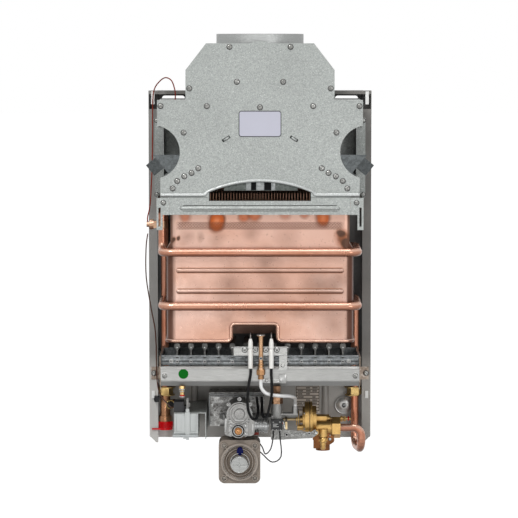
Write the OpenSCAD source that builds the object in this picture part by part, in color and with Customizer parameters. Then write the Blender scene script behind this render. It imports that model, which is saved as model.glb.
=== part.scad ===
// Open-flue gas water heater, shown with its front cover taken off.
// Millimetres. The wall is the plane Y = 0, the front faces -Y and +Z is up.
// The origin lies midway between the two hang slots, on the wall.

/* [Back panel] */
// Width of the back panel over its side walls
panel_w = 330; // [320:1:360]
// Height of the panel's top edge above the hang slots
panel_rise = 12; // [10:1:20]
// Depth of the panel's bottom edge below the hang slots
panel_drop = 508; // [500:1:520]
// Thickness of the panel's steel sheet
panel_t = 1; // [0.8:0.1:1.4]
// Distance from the wall to the back of the rim sheet
rim_stand = 12; // [11:0.5:14]
// Depth of the panel's side walls in front of the rim sheet
rim_depth = 20; // [16:0.5:21]
// Width of the folded lip along each side wall
lip_w = 13; // [10:0.5:13]
// Width of the pressed recess that lies on the wall
recess_w = 307; // [300:1:310]
// Depth of the recess's lower edge below the hang slots
recess_drop = 383; // [375:1:390]
// Corner radius of the recess
recess_r = 12; // [6:1:20]
// Distance between the two hang slots
slot_span = 258; // [240:1:264]
// Length of a hang slot
slot_len = 34; // [20:1:40]
// Width of a hang slot
slot_w = 8; // [6:0.5:10]
// Distance from the middle to each pressed stiffening rib
stiffener_x = 98; // [92:1:110]
// Radius of a pressed stiffening rib
stiffener_r = 5.5; // [4:0.5:7]

/* [Draught hood] */
// Distance from the wall to the back of the hood's front plate
hood_front = 151; // [149.5:0.5:153]
// Distance from the wall to the hood's back sheet
hood_back = 16; // [14:0.5:17]
// Thickness of the hood's sheet
hood_t = 1; // [0.8:0.1:1.2]
// Height of the front plate's top edge
hood_top = 83; // [80:0.5:90]
// Half width of the front plate's top edge
crown_half = 77.4; // [74:0.2:82]
// Half width of the hood's neck
neck_half = 107; // [100:0.5:110]
// Height at which the neck's side turns into the sloping edge
neck_z = 44.8; // [40:0.2:50]
// Height of the hood's shoulders
shoulder_z = 1.6; // [-1:0.2:3]
// Half width of the hood's shoulders
shoulder_half = 147.8; // [146:0.2:150]
// Half width of the front plate below the side openings
skirt_half = 143.5; // [142:0.1:146]
// Depth of the front plate's lower edge below the hang slots
skirt_drop = 138.4; // [137:0.2:139]
// Height of the bright strip along the front plate's lower edge
skirt_strip = 6.5; // [5:0.5:9]
// How far the roof lies below the plate's top edge
roof_drop = 8; // [6:0.5:10]
// Radius of the half-round openings in the hood's sides
draft_r = 38.2; // [34:0.2:40]
// Distance from the middle to the centre of each side opening
draft_x = 153.5; // [152:0.5:156]
// Depth of the side openings' centres below the hang slots
draft_drop = 73; // [71:0.5:75]
// Half width of the arched sight opening in the plate
arch_half = 73.2; // [66:0.2:75]
// Depth of the arch's crown below the hang slots
arch_drop = 116.1; // [114:0.1:120]
// Rise of the arch's curve above its shoulders
arch_rise = 14.9; // [10:0.1:17]
// Width of the folded edge round the front plate
plate_fold = 10; // [6:0.5:14]
// Clearance between the front plate's folded edge and the casing
fold_gap = 0.2; // [0.1:0.05:0.3]
// Outer radius of the flue collar
collar_r = 63.5; // [60:0.5:64]
// Wall of the flue collar
collar_t = 0.8; // [0.6:0.1:1]
// Height of the collar's rim above the hang slots
collar_top = 96; // [92:0.5:120]
// Distance from the wall to the collar's axis
collar_y = 84; // [83.5:0.1:84.2]
// Width of the collar's flange under the roof
collar_flange = 2.5; // [1.5:0.1:2.6]
// Height of the collar's bead over the roof
collar_bead = 2; // [1.5:0.1:3]

/* [Heat exchanger] */
// Half width of the copper shell round the fins
shell_top_half = 129.2; // [127:0.1:130]
// Half width of the copper shell round the flames
shell_low_half = 135.2; // [134:0.1:135.3]
// Distance from the wall to the shell's front face
shell_front = 148; // [146:0.5:148.5]
// Distance from the wall to the shell's back face
shell_back = 50; // [49.8:0.1:56]
// Thickness of the shell's copper sheet
shell_t = 0.8; // [0.6:0.1:1]
// Depth of the shell's top edge below the hang slots
shell_rise = 128; // [126:0.5:131]
// Depth of the shell's lower edge below the hang slots
shell_drop = 347; // [345:0.5:348]
// Depth at which the shell starts to widen
joggle_drop = 205; // [200:0.5:207]
// Height of the widening part of the shell
joggle_h = 9; // [6:0.5:12]
// Radius of the shell's upright corners
shell_corner = 14; // [8:0.5:16]
// Radius of the rolled hem along the shell's lower edge
hem_r = 3; // [2.5:0.1:3.2]
// Half width of the notch over the pilot
notch_half = 34; // [31:0.5:37]
// Distance of the notch's middle from the middle of the heater
notch_x = -8; // [-10:0.5:-6]
// Height of the notch over the pilot
notch_h = 25; // [22:0.5:28]
// Radius of the two pressed ribs in the shell
bead_r = 3.5; // [3:0.1:4]
// Half length of the two pressed ribs
bead_half = 118; // [100:1:122]
// Depth of the upper pressed rib below the hang slots
bead_drop = 244.4; // [240:0.2:250]
// Distance between the two pressed ribs
bead_pitch = 30.1; // [26:0.1:34]
// Distance between two fins
fin_pitch = 4.2; // [4:0.1:8]
// Thickness of a fin
fin_t = 0.5; // [0.3:0.1:0.8]
// Height of a fin
fin_h = 38; // [34:0.5:42]
// Depth of the exchanger's tubes below the hang slots
tube_drop = 152; // [150:0.5:154]
// Distance between two tubes of the exchanger
tube_pitch = 18; // [17:0.5:18.4]
// Distance from the wall to the rearmost tube
tube_first = 70; // [69:0.5:71]
// Number of tubes through the fins, an even number
tube_count = 4; // [2:2:4]
// Outer radius of the copper coil and of the exchanger's tubes
coil_r = 6; // [5.4:0.1:6]
// Distance from the middle to the coil's side runs and to the two risers
side_x = 141.5; // [141.4:0.1:142]
// Distance from the wall to the coil's front runs
coil_front = 156; // [155.6:0.1:158]
// Depth of the upper turn of the coil
coil_high = 217.7; // [216:0.1:220]
// Depth of the lower turn of the coil
coil_low = 295.8; // [290:0.2:300]
// Bend radius of the coil's corners, on its axis
coil_bend = 15; // [13:0.5:15]
// Bend radius of the coil's two corners behind the shell
coil_tight = 12; // [10:0.5:12.5]
// Outer radius of the supply pipes
riser_r = 5.8; // [5.2:0.1:5.8]
// Distance from the wall to the two risers
riser_y = 27; // [25:0.5:27]
// Radial clearance of a tube in the sheets and nuts that it passes
tube_gap = 0.1; // [0.05:0.05:0.2]
// Width of a union nut over its flats
union_af = 20; // [18:0.5:21]
// Height of a union nut
union_h = 11; // [9:0.5:13]
// Depth of the union nuts' middles below the hang slots
union_drop = 435.5; // [433:0.5:438]

/* [Exchanger rail] */
// Distance from the wall to the back of the rail
rail_front = 157; // [156:0.5:158]
// Half length of the rail
rail_half = 130.2; // [127:0.2:132]
// Height of the rail
rail_h = 24.4; // [22:0.2:26]
// Depth of the step in the rail's top edge behind the arch
rail_step = 4.6; // [3:0.2:6]
// Half length of the rail's pressed rib
rail_rib_half = 110.6; // [90:0.2:118]
// Half height of the rail's pressed rib
rail_rib_r = 3.2; // [2.6:0.1:3.6]
// Height to which the rail's rib stands out
rail_rib_d = 1.8; // [1:0.1:2.5]
// Thickness of the rail and its brackets
rail_t = 1; // [0.8:0.1:1.2]
// Half width over the rail's brackets
bracket_half = 148.9; // [148.7:0.1:150]
// Width of the bracket's hanging leg
leg_w = 8.7; // [8:0.1:10]
// Length of the bracket's hanging leg below the rail
leg_h = 22; // [16:0.5:24]

/* [Burner] */
// Number of burner blades
blade_count = 13; // [9:2:13]
// Distance between two burner blades
blade_pitch = 20; // [14:0.5:20]
// Width of a blade's head
blade_head_w = 8; // [6:0.5:9]
// Height of a blade's head
blade_head_h = 10; // [8:0.5:14]
// Thickness of a blade's body
blade_t = 2.4; // [1.6:0.2:4]
// Depth of the blades' tops below the hang slots
blade_drop = 350.5; // [350.2:0.1:352]
// Distance from the wall to the blades' front ends
blade_front = 147; // [146:0.5:147]
// Length of a blade
blade_len = 92; // [80:1:96]
// Outer radius of a blade's mixing tube
mixer_r = 6; // [5:0.5:7]
// Depth of the mixing tubes' axes below the hang slots
mixer_drop = 396; // [394:0.5:398]
// Half width of the burner tray
tray_half = 143; // [140:0.5:143.5]
// Height of the tray's front strip
tray_h = 14.4; // [12:0.2:15]
// Depth of the tray's top edge below the hang slots
tray_drop = 367.6; // [366:0.2:368]
// Distance from the wall to the back of the gas manifold
manifold_back = 152; // [151.5:0.5:153]
// Depth of the gas manifold from front to back
manifold_d = 12; // [10:0.5:14]
// Half length of the gas manifold
manifold_half = 143.5; // [143:0.5:144]
// Depth of the manifold's top edge below the hang slots
manifold_drop = 382.4; // [382.2:0.1:384]
// Height of the gas manifold
manifold_h = 28.6; // [26:0.2:30]
// Radius of an injector's nozzle
injector_r = 2.6; // [2:0.1:3.2]
// Thickness of the burner's side plates
side_plate_t = 1.2; // [1:0.1:1.5]

/* [Pilot] */
// Distance from the middle to the pilot tube
pilot_x = 1.3; // [0:0.1:3]
// Distance between the two electrodes
electrode_span = 30; // [26:0.5:34]
// Radius of an electrode's ceramic
ceramic_r = 3.5; // [3:0.1:3.8]
// Length of an electrode's ceramic
ceramic_len = 43; // [38:0.5:46]
// Depth of the ceramics' lower ends below the hang slots
ceramic_drop = 384; // [383:0.5:386]
// Radius of an electrode's pin
pin_r = 0.9; // [0.6:0.1:1.2]
// Radius of the pilot burner's tube
pilot_r = 3.2; // [2.6:0.1:3.6]
// Radius of the silver pilot gas tube
pilot_tube_r = 2.3; // [1.8:0.1:2.6]

/* [Gas valve] */
// Depth of the water valve's axis below the hang slots
water_drop = 483.5; // [483:0.5:484]
// Distance from the wall to the axis of the gas and water valves
valve_y = 80; // [78:0.5:82]
// Depth of the push rod's axis below the hang slots
rod_drop = 471; // [470:0.5:472]
// Radius of the push rod
rod_r = 2; // [1.6:0.1:2.4]
// Travel of the push rod
rod_travel = 3; // [2:0.1:3]
// Radial running clearance of rods and spindles
run_gap = 0.05; // [0.02:0.01:0.08]
// Clearance between flat faces of moving pieces
face_gap = 0.15; // [0.1:0.05:0.3]
// Width of the gas valve's housing
gas_w = 44; // [40:0.5:48]
// Height of the gas valve's housing
gas_h = 50; // [46:0.5:52]
// Radius of the gas valve's domed top
gas_dome_r = 19; // [17:0.5:21]
// Radius of the ring cast on the gas valve's face
gas_ring_r = 15.5; // [13:0.5:16]
// Depth of the gas valve's housing from front to back
gas_d = 58; // [50:0.5:62]
// Radius of the solenoid's barrel
solenoid_r = 11; // [9:0.5:12]
// Radius of the gas valve's spindle
gas_spindle_r = 3; // [2.5:0.1:4]

/* [Regulator] */
// Width of the regulator's square housing
reg_w = 61; // [58:0.5:64]
// Height of the regulator's square housing
reg_h = 64; // [60:0.5:66]
// Thickness of the regulator's body
reg_d = 38; // [30:0.5:44]
// Thickness of the regulator's cover
reg_cover_t = 9; // [7:0.5:12]
// Radius of the cover's raised ring
reg_ring_r = 26.5; // [24:0.5:28]
// Radius of the regulator's screw cap
reg_cap_r = 12; // [10:0.5:14]
// Height of the spring tower on the regulator's cover
reg_tower_h = 14; // [8:1:18]
// Bore radius of the gas inlet's thread
gas_inlet_r = 10.3; // [9.3:0.1:12]
// Depth of the gas inlet's thread
gas_inlet_len = 18; // [14:0.5:20]

/* [Water valve] */
// Radius of the diaphragm housing
diaphragm_r = 26; // [22:0.5:27]
// Radius of the water valve's body
water_r = 10; // [9:0.5:10.5]
// Width over flats of the valve's outlet nut
outlet_af = 27; // [24:0.5:27]
// Outer radius of the cold inlet's half-inch thread
cold_r = 10.48; // [9.5:0.01:13.2]
// Length of the cold inlet's thread
cold_len = 16; // [12:0.5:20]
// Radius of the water control spindle
water_spindle_r = 2.5; // [2:0.1:3]

/* [Left side] */
// Outer radius of the hot outlet's body
hot_r = 7.5; // [7:0.1:8]
// Outer radius of the hot outlet's threaded end
hot_thread_r = 8.6; // [8:0.1:9.2]
// Width of the battery box
battery_w = 35; // [30:0.5:36]
// Depth of the battery box from front to back
battery_d = 110; // [90:1:112]
// Height of the battery box
battery_h = 30; // [28:0.5:32]
// Wall of the battery box
battery_t = 1.6; // [1.2:0.1:2.4]

/* [Hidden] */
$fn = 48;

// Draws its children at both sides of the middle plane
module both() {
    children();
    mirror([1, 0, 0]) children();
}
// A box between two corners
module block(low, high) {
    translate(low) cube(high - low);
}
// An outline in X and Z, from the distance near to the distance far off the wall
module slab(near, far) {
    translate([0, -near, 0]) rotate([90, 0, 0]) linear_extrude(far - near) children();
}
// A round bar along X, from a to b
module bar_x(a, b, y, z, r, fn = 48) {
    translate([a, y, z]) rotate([0, 90, 0]) cylinder(h = b - a, r = r, $fn = fn);
}
// A round bar along Y, from a to b
module bar_y(a, b, x, z, r, fn = 48) {
    translate([x, b, z]) rotate([90, 0, 0]) cylinder(h = b - a, r = r, $fn = fn);
}
// A round bar along Z, from a to b
module bar_z(a, b, x, y, r, fn = 48) {
    translate([x, y, a]) cylinder(h = b - a, r = r, $fn = fn);
}
// An outline moved inwards by d along its mitres; its points run anticlockwise
function inset(pts, d) = let (n = len(pts)) [for (i = [0:n - 1])
    let (a = pts[(i + n - 1) % n], b = pts[i], c = pts[(i + 1) % n],
         u = (b - a) / norm(b - a), v = (c - b) / norm(c - b),
         p = [-u[1], u[0]], q = [-v[1], v[0]])
    b + d * (p + q) / (1 + p * q)];
// A rectangle with round corners, by its half sizes
module rounded(half_w, half_h, r) {
    square([2 * half_w, 2 * (half_h - r)], center = true);
    square([2 * (half_w - r), 2 * half_h], center = true);
    for (x = [-1, 1], y = [-1, 1]) translate([x * (half_w - r), y * (half_h - r)]) circle(r);
}

// Pipes: straight runs joined by true elbows
function unit(v) = v / norm(v);
function trim(p, i, bend) = (i == 0 || i == len(p) - 1) ? 0 :
    bend * tan(acos(unit(p[i] - p[i - 1]) * unit(p[i + 1] - p[i])) / 2);
module run(from, to, r) {
    d = to - from;
    z = unit(d);
    h = abs(z[2]) > 0.9 ? [1, 0, 0] : [0, 0, 1];
    x = unit(cross(h, z));
    y = cross(z, x);
    multmatrix([[x[0], y[0], z[0], from[0]], [x[1], y[1], z[1], from[1]],
        [x[2], y[2], z[2], from[2]]])
        cylinder(h = norm(d), r = r);
}
module elbow(p, i, r, bend) {
    a = unit(p[i] - p[i - 1]);
    b = unit(p[i + 1] - p[i]);
    turn = acos(a * b);
    n = unit(b - a * (a * b));
    c = p[i] - a * trim(p, i, bend) + n * bend;
    z = cross(-n, a);
    multmatrix([[-n[0], a[0], z[0], c[0]], [-n[1], a[1], z[1], c[1]], [-n[2], a[2], z[2], c[2]]])
        rotate_extrude(angle = turn) translate([bend, 0]) circle(r);
}
module pipe(p, r, bends) {
    bend = function (i) is_list(bends) ? bends[i] : bends;
    for (i = [0:len(p) - 2])
        let (d = unit(p[i + 1] - p[i]))
        run(p[i] + d * trim(p, i, bend(i)), p[i + 1] - d * trim(p, i + 1, bend(i + 1)), r);
    for (i = [1:len(p) - 2]) elbow(p, i, r, bend(i));
}

// Cords and free-form pipes: one polyhedron swept along a list of points
function tangent(p, i) = unit(p[min(i + 1, len(p) - 1)] - p[max(i - 1, 0)]);
function side_of(t) = unit(cross(t, abs(t[2]) > 0.8 ? [0, 1, 0] : [0, 0, 1]));
function carry(n, t) = unit(n - t * (n * t));
function normals(p, i = 0, found = []) = i == len(p) ? found :
    normals(p, i + 1, concat(found,
        [i == 0 ? side_of(tangent(p, 0)) : carry(found[i - 1], tangent(p, i))]));
module cord(p, r, sides = 8) {
    n = len(p);
    across = normals(p);
    rings = [for (i = [0:n - 1]) let (t = tangent(p, i), a = across[i], b = cross(t, a))
        for (k = [0:sides - 1]) p[i] + r * (a * cos(k * 360 / sides) + b * sin(k * 360 / sides))];
    walls = [for (i = [0:n - 2], k = [0:sides - 1])
        let (a = i * sides + k, b = i * sides + (k + 1) % sides)
        each [[a, a + sides, b], [b, a + sides, b + sides]]];
    first = [for (k = [1:sides - 2]) [0, k, k + 1]];
    last = [for (k = [1:sides - 2]) [(n - 1) * sides, (n - 1) * sides + k + 1, (n - 1) * sides + k]];
    polyhedron(rings, concat(first, walls, last), convexity = 4);
}
// The points of a pipe's axis, with an arc of steps chords at each corner
function arc_at(p, i, bend, steps) = let (a = unit(p[i] - p[i - 1]), b = unit(p[i + 1] - p[i]),
    turn = acos(a * b), n = unit(b - a * (a * b)), c = p[i] - a * trim(p, i, bend) + n * bend)
    [for (s = [0:steps]) let (t = turn * s / steps) c + bend * (a * sin(t) - n * cos(t))];
function route(p, bends, steps = 6) = concat([p[0]],
    [for (i = [1:len(p) - 2]) each arc_at(p, i, bends[i], steps)], [p[len(p) - 1]]);
// A smooth curve through hand-chosen points, with steps rings to each stretch
function curve(p, steps) = [for (i = [0:len(p) - 2])
    let (a = p[max(i - 1, 0)], b = p[i], c = p[i + 1], d = p[min(i + 2, len(p) - 1)])
    for (s = [0:steps - (i == len(p) - 2 ? 0 : 1)]) let (t = s / steps)
    0.5 * (2 * b + (c - a) * t + (2 * a - 5 * b + 4 * c - d) * t ^ 2
        + (3 * b - a - 3 * c + d) * t ^ 3)];

// Back panel
rim_back = -rim_stand;
rim_front = rim_back - panel_t;
lip_front = rim_back - rim_depth;
lip_back = lip_front + panel_t;
panel_half = panel_w / 2;
lip_chamfer = 10;
lip_start = 15;
hood_room = 3;
latch_lip = 5;
module recess_outline(d) {
    half = recess_w / 2 - d;
    r = recess_r - d;
    translate([-half, d + r - recess_drop]) square([2 * half, recess_drop + panel_rise - 2 * d - r]);
    translate([r - half, d - recess_drop]) square([2 * (half - r), r]);
    for (s = [-1, 1]) translate([s * (half - r), d + r - recess_drop]) circle(r);
}
module back_panel() {
    color("#8f8b86") {
        difference() {
            union() {
                slab(0, rim_stand + panel_t) recess_outline(0);
                slab(rim_stand, rim_stand + panel_t) translate([-panel_half, -panel_drop])
                    square([panel_w, panel_drop + panel_rise]);
                both() bar_z(-panel_drop, -recess_drop - 8, stiffener_x, rim_front + panel_t, stiffener_r);
            }
            slab(panel_t, rim_stand + 2 * stiffener_r) recess_outline(panel_t);
            both() bar_z(-panel_drop - 1, -recess_drop - 9, stiffener_x, rim_front + panel_t,
                stiffener_r - panel_t);
            block([-panel_half, rim_back, -panel_drop - 1], [panel_half, 0, -recess_drop]);
            both() slab(-1, panel_t + 1) for (e = [-1, 1]) {
                translate([slot_span / 2 + e * (slot_len - slot_w) / 2, 0]) circle(slot_w / 2);
                translate([slot_span / 2 - (slot_len - slot_w) / 2, -slot_w / 2])
                    square([slot_len - slot_w, slot_w]);
            }
        }
        both() block([panel_half - panel_t, lip_front, -panel_drop + 5],
            [panel_half, rim_front, panel_rise]);
        both() slab(-lip_back, -lip_front) polygon([[panel_half - lip_w, -lip_start],
            [panel_half - lip_w, -panel_drop - 5], [panel_half - lip_chamfer, -panel_drop - 5],
            [panel_half, -panel_drop + 5], [panel_half, -lip_start]]);
        both() block([neck_half + hood_room, lip_front, panel_rise - panel_t],
            [panel_half, rim_front, panel_rise]);
        both() block([neck_half + hood_room, lip_front, panel_rise - latch_lip],
            [panel_half, lip_back, panel_rise]);
    }
}

// Stays that carry the hood and the exchanger from the panel
stay_in = 141.4;
stay_out = 155;
stay_t = 1.2;
stay_front = -61;
stay_low = -144;
stay_notch = -41;
stay_high = -27;
module side_stays() {
    color("#b9bdbb") both() {
        block([stay_in, stay_front + stay_t, stay_low], [stay_in + stay_t, -panel_t, stay_notch]);
        block([stay_in, -panel_t - stay_t, stay_low], [stay_in + 9, -panel_t, stay_notch]);
        block([stay_in, stay_front, stay_low], [stay_out, stay_front + stay_t, stay_notch]);
        block([shoulder_half + 1, stay_front, stay_notch], [stay_out, stay_front + stay_t, stay_high]);
    }
}
clip_w = 4.5;
clip_h = 11;
module edge_clips() {
    color("#e8e8e6") both()
        block([panel_half - 8, lip_front - 2.4, -446], [panel_half - 8 + clip_w, lip_front, clip_h - 446]);
    color("#b9bdbb") both()
        block([panel_half - 9, lip_front - 1, -8], [panel_half - 4, lip_front, panel_rise - 1]);
}
dish_x = 125.8;
dish_z = -459;
dish_r = 13;
module dish_washer() {
    color("#c9cbc9") translate([dish_x, rim_front, dish_z]) rotate([90, 0, 0]) {
        rotate_extrude() polygon([[0, 0], [dish_r - 2, 0], [dish_r, 1.8], [dish_r - 1, 1.8],
            [dish_r - 2.6, 1], [0, 1]]);
        translate([0, 0, 1]) cylinder(h = 3, r = 3);
    }
}

// Draught hood
plate_back = -hood_front;
plate_front = plate_back - hood_t;
roof_z = hood_top - roof_drop;
skirt_z = -skirt_drop;
cut_z = -draft_drop + sqrt(draft_r ^ 2 - (draft_x - shoulder_half) ^ 2);
cut_low_z = -draft_drop - sqrt(draft_r ^ 2 - (draft_x - skirt_half) ^ 2);
function mirrored(pts) = concat(pts, [for (i = [len(pts) - 1:-1:0]) [-pts[i][0], pts[i][1]]]);
plate_pts = mirrored([[skirt_half, skirt_z], [skirt_half, cut_low_z],
    [draft_x - draft_r, -draft_drop], [shoulder_half, cut_z], [shoulder_half, shoulder_z],
    [neck_half, shoulder_z], [neck_half, neck_z], [crown_half, hood_top]]);
crown_run = (neck_half - crown_half) / (hood_top - neck_z);
casing_in = hood_t + fold_gap;
casing_low_half = min(skirt_half - 3, stay_in - 0.9);
casing_pts = mirrored([[casing_low_half, skirt_z + 0.2], [casing_low_half, cut_z],
    [shoulder_half - casing_in, cut_z], [shoulder_half - casing_in, shoulder_z - casing_in],
    [neck_half - casing_in, shoulder_z - casing_in], [neck_half - casing_in, neck_z],
    [crown_half + crown_run * roof_drop - casing_in, roof_z]]);
module draft_circles(r) {
    for (s = [-1, 1]) translate([s * draft_x, -draft_drop]) circle(r);
}
module hood_body() {
    color("#b4bab9") difference() {
        slab(hood_back, hood_front) polygon(casing_pts);
        slab(hood_back + hood_t, hood_front + 1) polygon(inset(casing_pts, hood_t));
        block([-casing_low_half + hood_t, plate_back - 1, skirt_z],
            [casing_low_half - hood_t, -hood_back - hood_t, skirt_z + 2]);
        both() block([casing_low_half - 2, plate_back + 6, cut_low_z],
            [shoulder_half, -hood_back - 6, cut_z + 1]);
        both() block([casing_low_half - 2, plate_back - 1, cut_low_z],
            [shoulder_half, plate_back + 7, cut_z + 1]);
        bar_z(roof_z - 2, roof_z + 1, 0, -collar_y, collar_r + tube_gap, 96);
    }
}
module arch_outline() {
    curve_r = (arch_half ^ 2 + arch_rise ^ 2) / (2 * arch_rise);
    intersection() {
        translate([0, -arch_drop - curve_r]) circle(curve_r, $fn = 180);
        translate([-arch_half, skirt_z - 1]) square([2 * arch_half, skirt_drop]);
    }
}
tab_half = 12;
tab_rise = 3;
module hood_plate() {
    color("#c0c6c5") difference() {
        union() {
            slab(hood_front, hood_front + hood_t) {
                difference() {
                    polygon(plate_pts);
                    draft_circles(draft_r);
                }
                polygon([[-tab_half, hood_top - 1], [tab_half, hood_top - 1],
                    [tab_half - 2, hood_top + tab_rise], [2 - tab_half, hood_top + tab_rise]]);
            }
            intersection() {
                slab(hood_front - plate_fold, hood_front + hood_t) difference() {
                    polygon(plate_pts);
                    polygon(inset(plate_pts, hood_t));
                }
                union() {
                    block([-shoulder_half - 1, plate_front, cut_z], [shoulder_half + 1, 0, shoulder_z]);
                    both() block([neck_half - 9, plate_front, shoulder_z - 1], [neck_half + 1, 0, neck_z]);
                }
            }
            slab(hood_front + hood_t, hood_front + hood_t + 1.6)
                translate([-skirt_half, skirt_z]) square([2 * skirt_half, skirt_strip]);
        }
        slab(hood_front - plate_fold - 1, hood_front + 5) arch_outline();
    }
}
module flue_collar() {
    inner_r = collar_r - collar_t;
    outer_r = collar_r + collar_flange;
    flange_z = roof_z - hood_t;
    bead_z = roof_z + collar_bead;
    color("#c3c8c8") translate([0, -collar_y, 0]) rotate_extrude($fn = 128)
        polygon([[inner_r, flange_z - 0.8], [outer_r, flange_z - 0.8], [outer_r, flange_z],
            [collar_r, flange_z], [collar_r, roof_z], [outer_r - 0.6, roof_z],
            [outer_r, (roof_z + bead_z) / 2], [outer_r - 0.6, bead_z], [collar_r, bead_z],
            [collar_r, collar_top], [inner_r, collar_top]]);
}

// Wings that throw the draught outwards through the side openings
wing_t = 1;
wing_depth = 40;
wing_lap = 3;
wing_top = 4;
fold_x = 144.4;
fold_z = -88.6;
fold_turn = 39.3;
flap_w = 19.4;
flap_len = 20;
flap_bend = 28;
module draft_deflectors() {
    color("#6f7577") both() {
        slab(hood_front - wing_depth, hood_front) intersection() {
            difference() {
                translate([draft_x, -draft_drop]) circle(draft_r + 0.5);
                translate([draft_x, -draft_drop]) circle(draft_r + 0.5 - wing_t);
            }
            translate([draft_x - draft_r - 1, -draft_drop - draft_r])
                square([casing_low_half - 3 - draft_x + draft_r + 1, draft_r - wing_top]);
        }
        slab(hood_front - wing_t, hood_front) difference() {
            translate([draft_x, -draft_drop]) circle(draft_r + wing_lap);
            translate([draft_x - draft_r, -draft_drop - wing_top]) square(3 * draft_r);
            translate([draft_x - 2 * draft_r, -draft_drop - wing_top]) square(2 * draft_r);
            translate([fold_x, fold_z]) rotate(-fold_turn) translate([0, -3 * draft_r])
                square(6 * draft_r);
            translate([draft_x - 2 * draft_r, fold_z - flap_w - 3 * draft_r])
                square([4 * draft_r, 3 * draft_r]);
        }
        translate([fold_x, wing_t - hood_front, fold_z]) rotate([0, fold_turn, 0]) rotate([0, 0, flap_bend])
            block([-0.6, -wing_t, -flap_w / 2], [flap_len, 0, flap_w / 2]);
    }
}
baffle_half = 60;
baffle_z = -40;
baffle_fall = 14;
slope_in = 84;
slope_out = 126;
slope_top = -94;
slope_low = -124;
module hood_baffle() {
    color("#9aa0a0") slab(hood_back + hood_t, hood_front) {
        polygon([[-baffle_half, baffle_z - baffle_fall], [0, baffle_z],
            [baffle_half, baffle_z - baffle_fall], [baffle_half, baffle_z - baffle_fall + 1],
            [0, baffle_z + 1], [-baffle_half, baffle_z - baffle_fall + 1]]);
    }
    color("#9aa0a0") both() slab(hood_back + hood_t, hood_front) polygon([[slope_in, slope_top],
        [slope_out, slope_low], [slope_out, slope_low - 1.2], [slope_in, slope_top - 1.2]]);
}

// Screws of the casing, as pan heads on their seats
hood_screws = [[43.8, 77.8], [101.5, 18.4], [33.2, 27.8], [142.8, -7], [76.4, -7], [109.8, -45],
    [88.8, -96.3], [98.6, -103], [109, -108], [119.2, -114.7], [125.8, -125.4]];
head_r = 3.1;
head_h = 1.8;
module head(r = head_r, h = head_h) {
    rotate([90, 0, 0]) rotate_extrude() polygon([[0, 0], [r, 0], [r, h * 0.45], [r * 0.6, h], [0, h]]);
}
rail_y = -rail_front;
rail_top = skirt_z - 0.2;
rail_low = rail_top - rail_h;
module casing_screws() {
    color("#8a8f8f") {
        both() for (s = hood_screws) translate([s[0], plate_front, s[1]]) head();
        translate([0, plate_front, -8.7]) head();
        both() translate([bracket_half - 10, rail_y - rail_t, rail_top - 7]) head();
        both() for (z = [-31, stay_low + 4]) translate([stay_out - 3, stay_front, z]) head(2.8);
        both() translate([manifold_half - 6, -manifold_back - manifold_d, -395.5]) head(3.6, 2);
        both() translate([panel_half - 7, ear_front, -manifold_drop - manifold_h + 2.5]) head(3.4, 2);
    }
}

// Exchanger rail with its brackets
module exchanger_rail() {
    reach = rail_front - shell_front - 0.2;
    color("#bcc2c1") {
        difference() {
            slab(rail_front, rail_front + rail_t) translate([-rail_half, rail_low])
                square([2 * rail_half, rail_h]);
            block([-arch_half, rail_y - rail_t - 1, rail_top - rail_step],
                [arch_half, rail_y + 1, rail_top + 1]);
        }
        both() block([arch_half, rail_y, rail_top - rail_t], [rail_half, rail_y + reach, rail_top]);
        block([-arch_half, rail_y, rail_top - rail_step - rail_t],
            [arch_half, rail_y + reach, rail_top - rail_step]);
        block([-rail_half, rail_y, rail_low], [rail_half, rail_y + reach, rail_low + rail_t]);
        slab(rail_front + rail_t, rail_front + rail_t + rail_rib_d) translate([0, rail_top - 15]) {
            square([2 * rail_rib_half, 2 * rail_rib_r], center = true);
            for (x = [-rail_rib_half, rail_rib_half]) translate([x, 0]) circle(rail_rib_r);
        }
    }
}
web_in = bracket_half - rail_t;
module rail_brackets() {
    color("#c2c8c7") both() difference() {
        union() {
            block([rail_half + 0.2, rail_y - rail_t, rail_low], [bracket_half, rail_y, rail_top]);
            block([bracket_half - leg_w, rail_y - rail_t, rail_low - leg_h],
                [bracket_half, rail_y, rail_low]);
            block([web_in, rail_y, rail_low], [bracket_half, stay_front - 0.2, rail_top]);
        }
        block([bracket_half - leg_w / 2 - 1.6, rail_y - rail_t - 1, rail_low - leg_h + 5],
            [bracket_half - leg_w / 2 + 1.6, rail_y + 1, rail_top - 14]);
    }
}

// Copper shell, fins and tubes
shell_y = -(shell_front + shell_back) / 2;
shell_d = shell_front - shell_back;
tube_z = -tube_drop;
tube_ys = [for (i = [0:tube_count - 1]) -tube_first - i * tube_pitch];
module tube_holes(r, half) {
    for (y = tube_ys) bar_x(-half, half, y, tube_z, r);
}
module duct(d) {
    intersection() {
        translate([0, shell_y, -shell_drop]) linear_extrude(shell_drop - shell_rise)
            rounded(shell_low_half - d, shell_d / 2 - d, shell_corner - d);
        slab(shell_back - 1, shell_front + 1) polygon(mirrored([[shell_low_half - d, -shell_drop],
            [shell_low_half - d, -joggle_drop - joggle_h], [shell_top_half - d, -joggle_drop],
            [shell_top_half - d, -shell_rise]]));
    }
}
module beads(r) {
    for (i = [0, 1]) {
        z = -bead_drop - i * bead_pitch;
        bar_x(-bead_half, bead_half, -shell_front + 1, z, r);
        for (s = [-1, 1]) translate([s * bead_half, -shell_front + 1, z]) sphere(r);
    }
}
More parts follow.
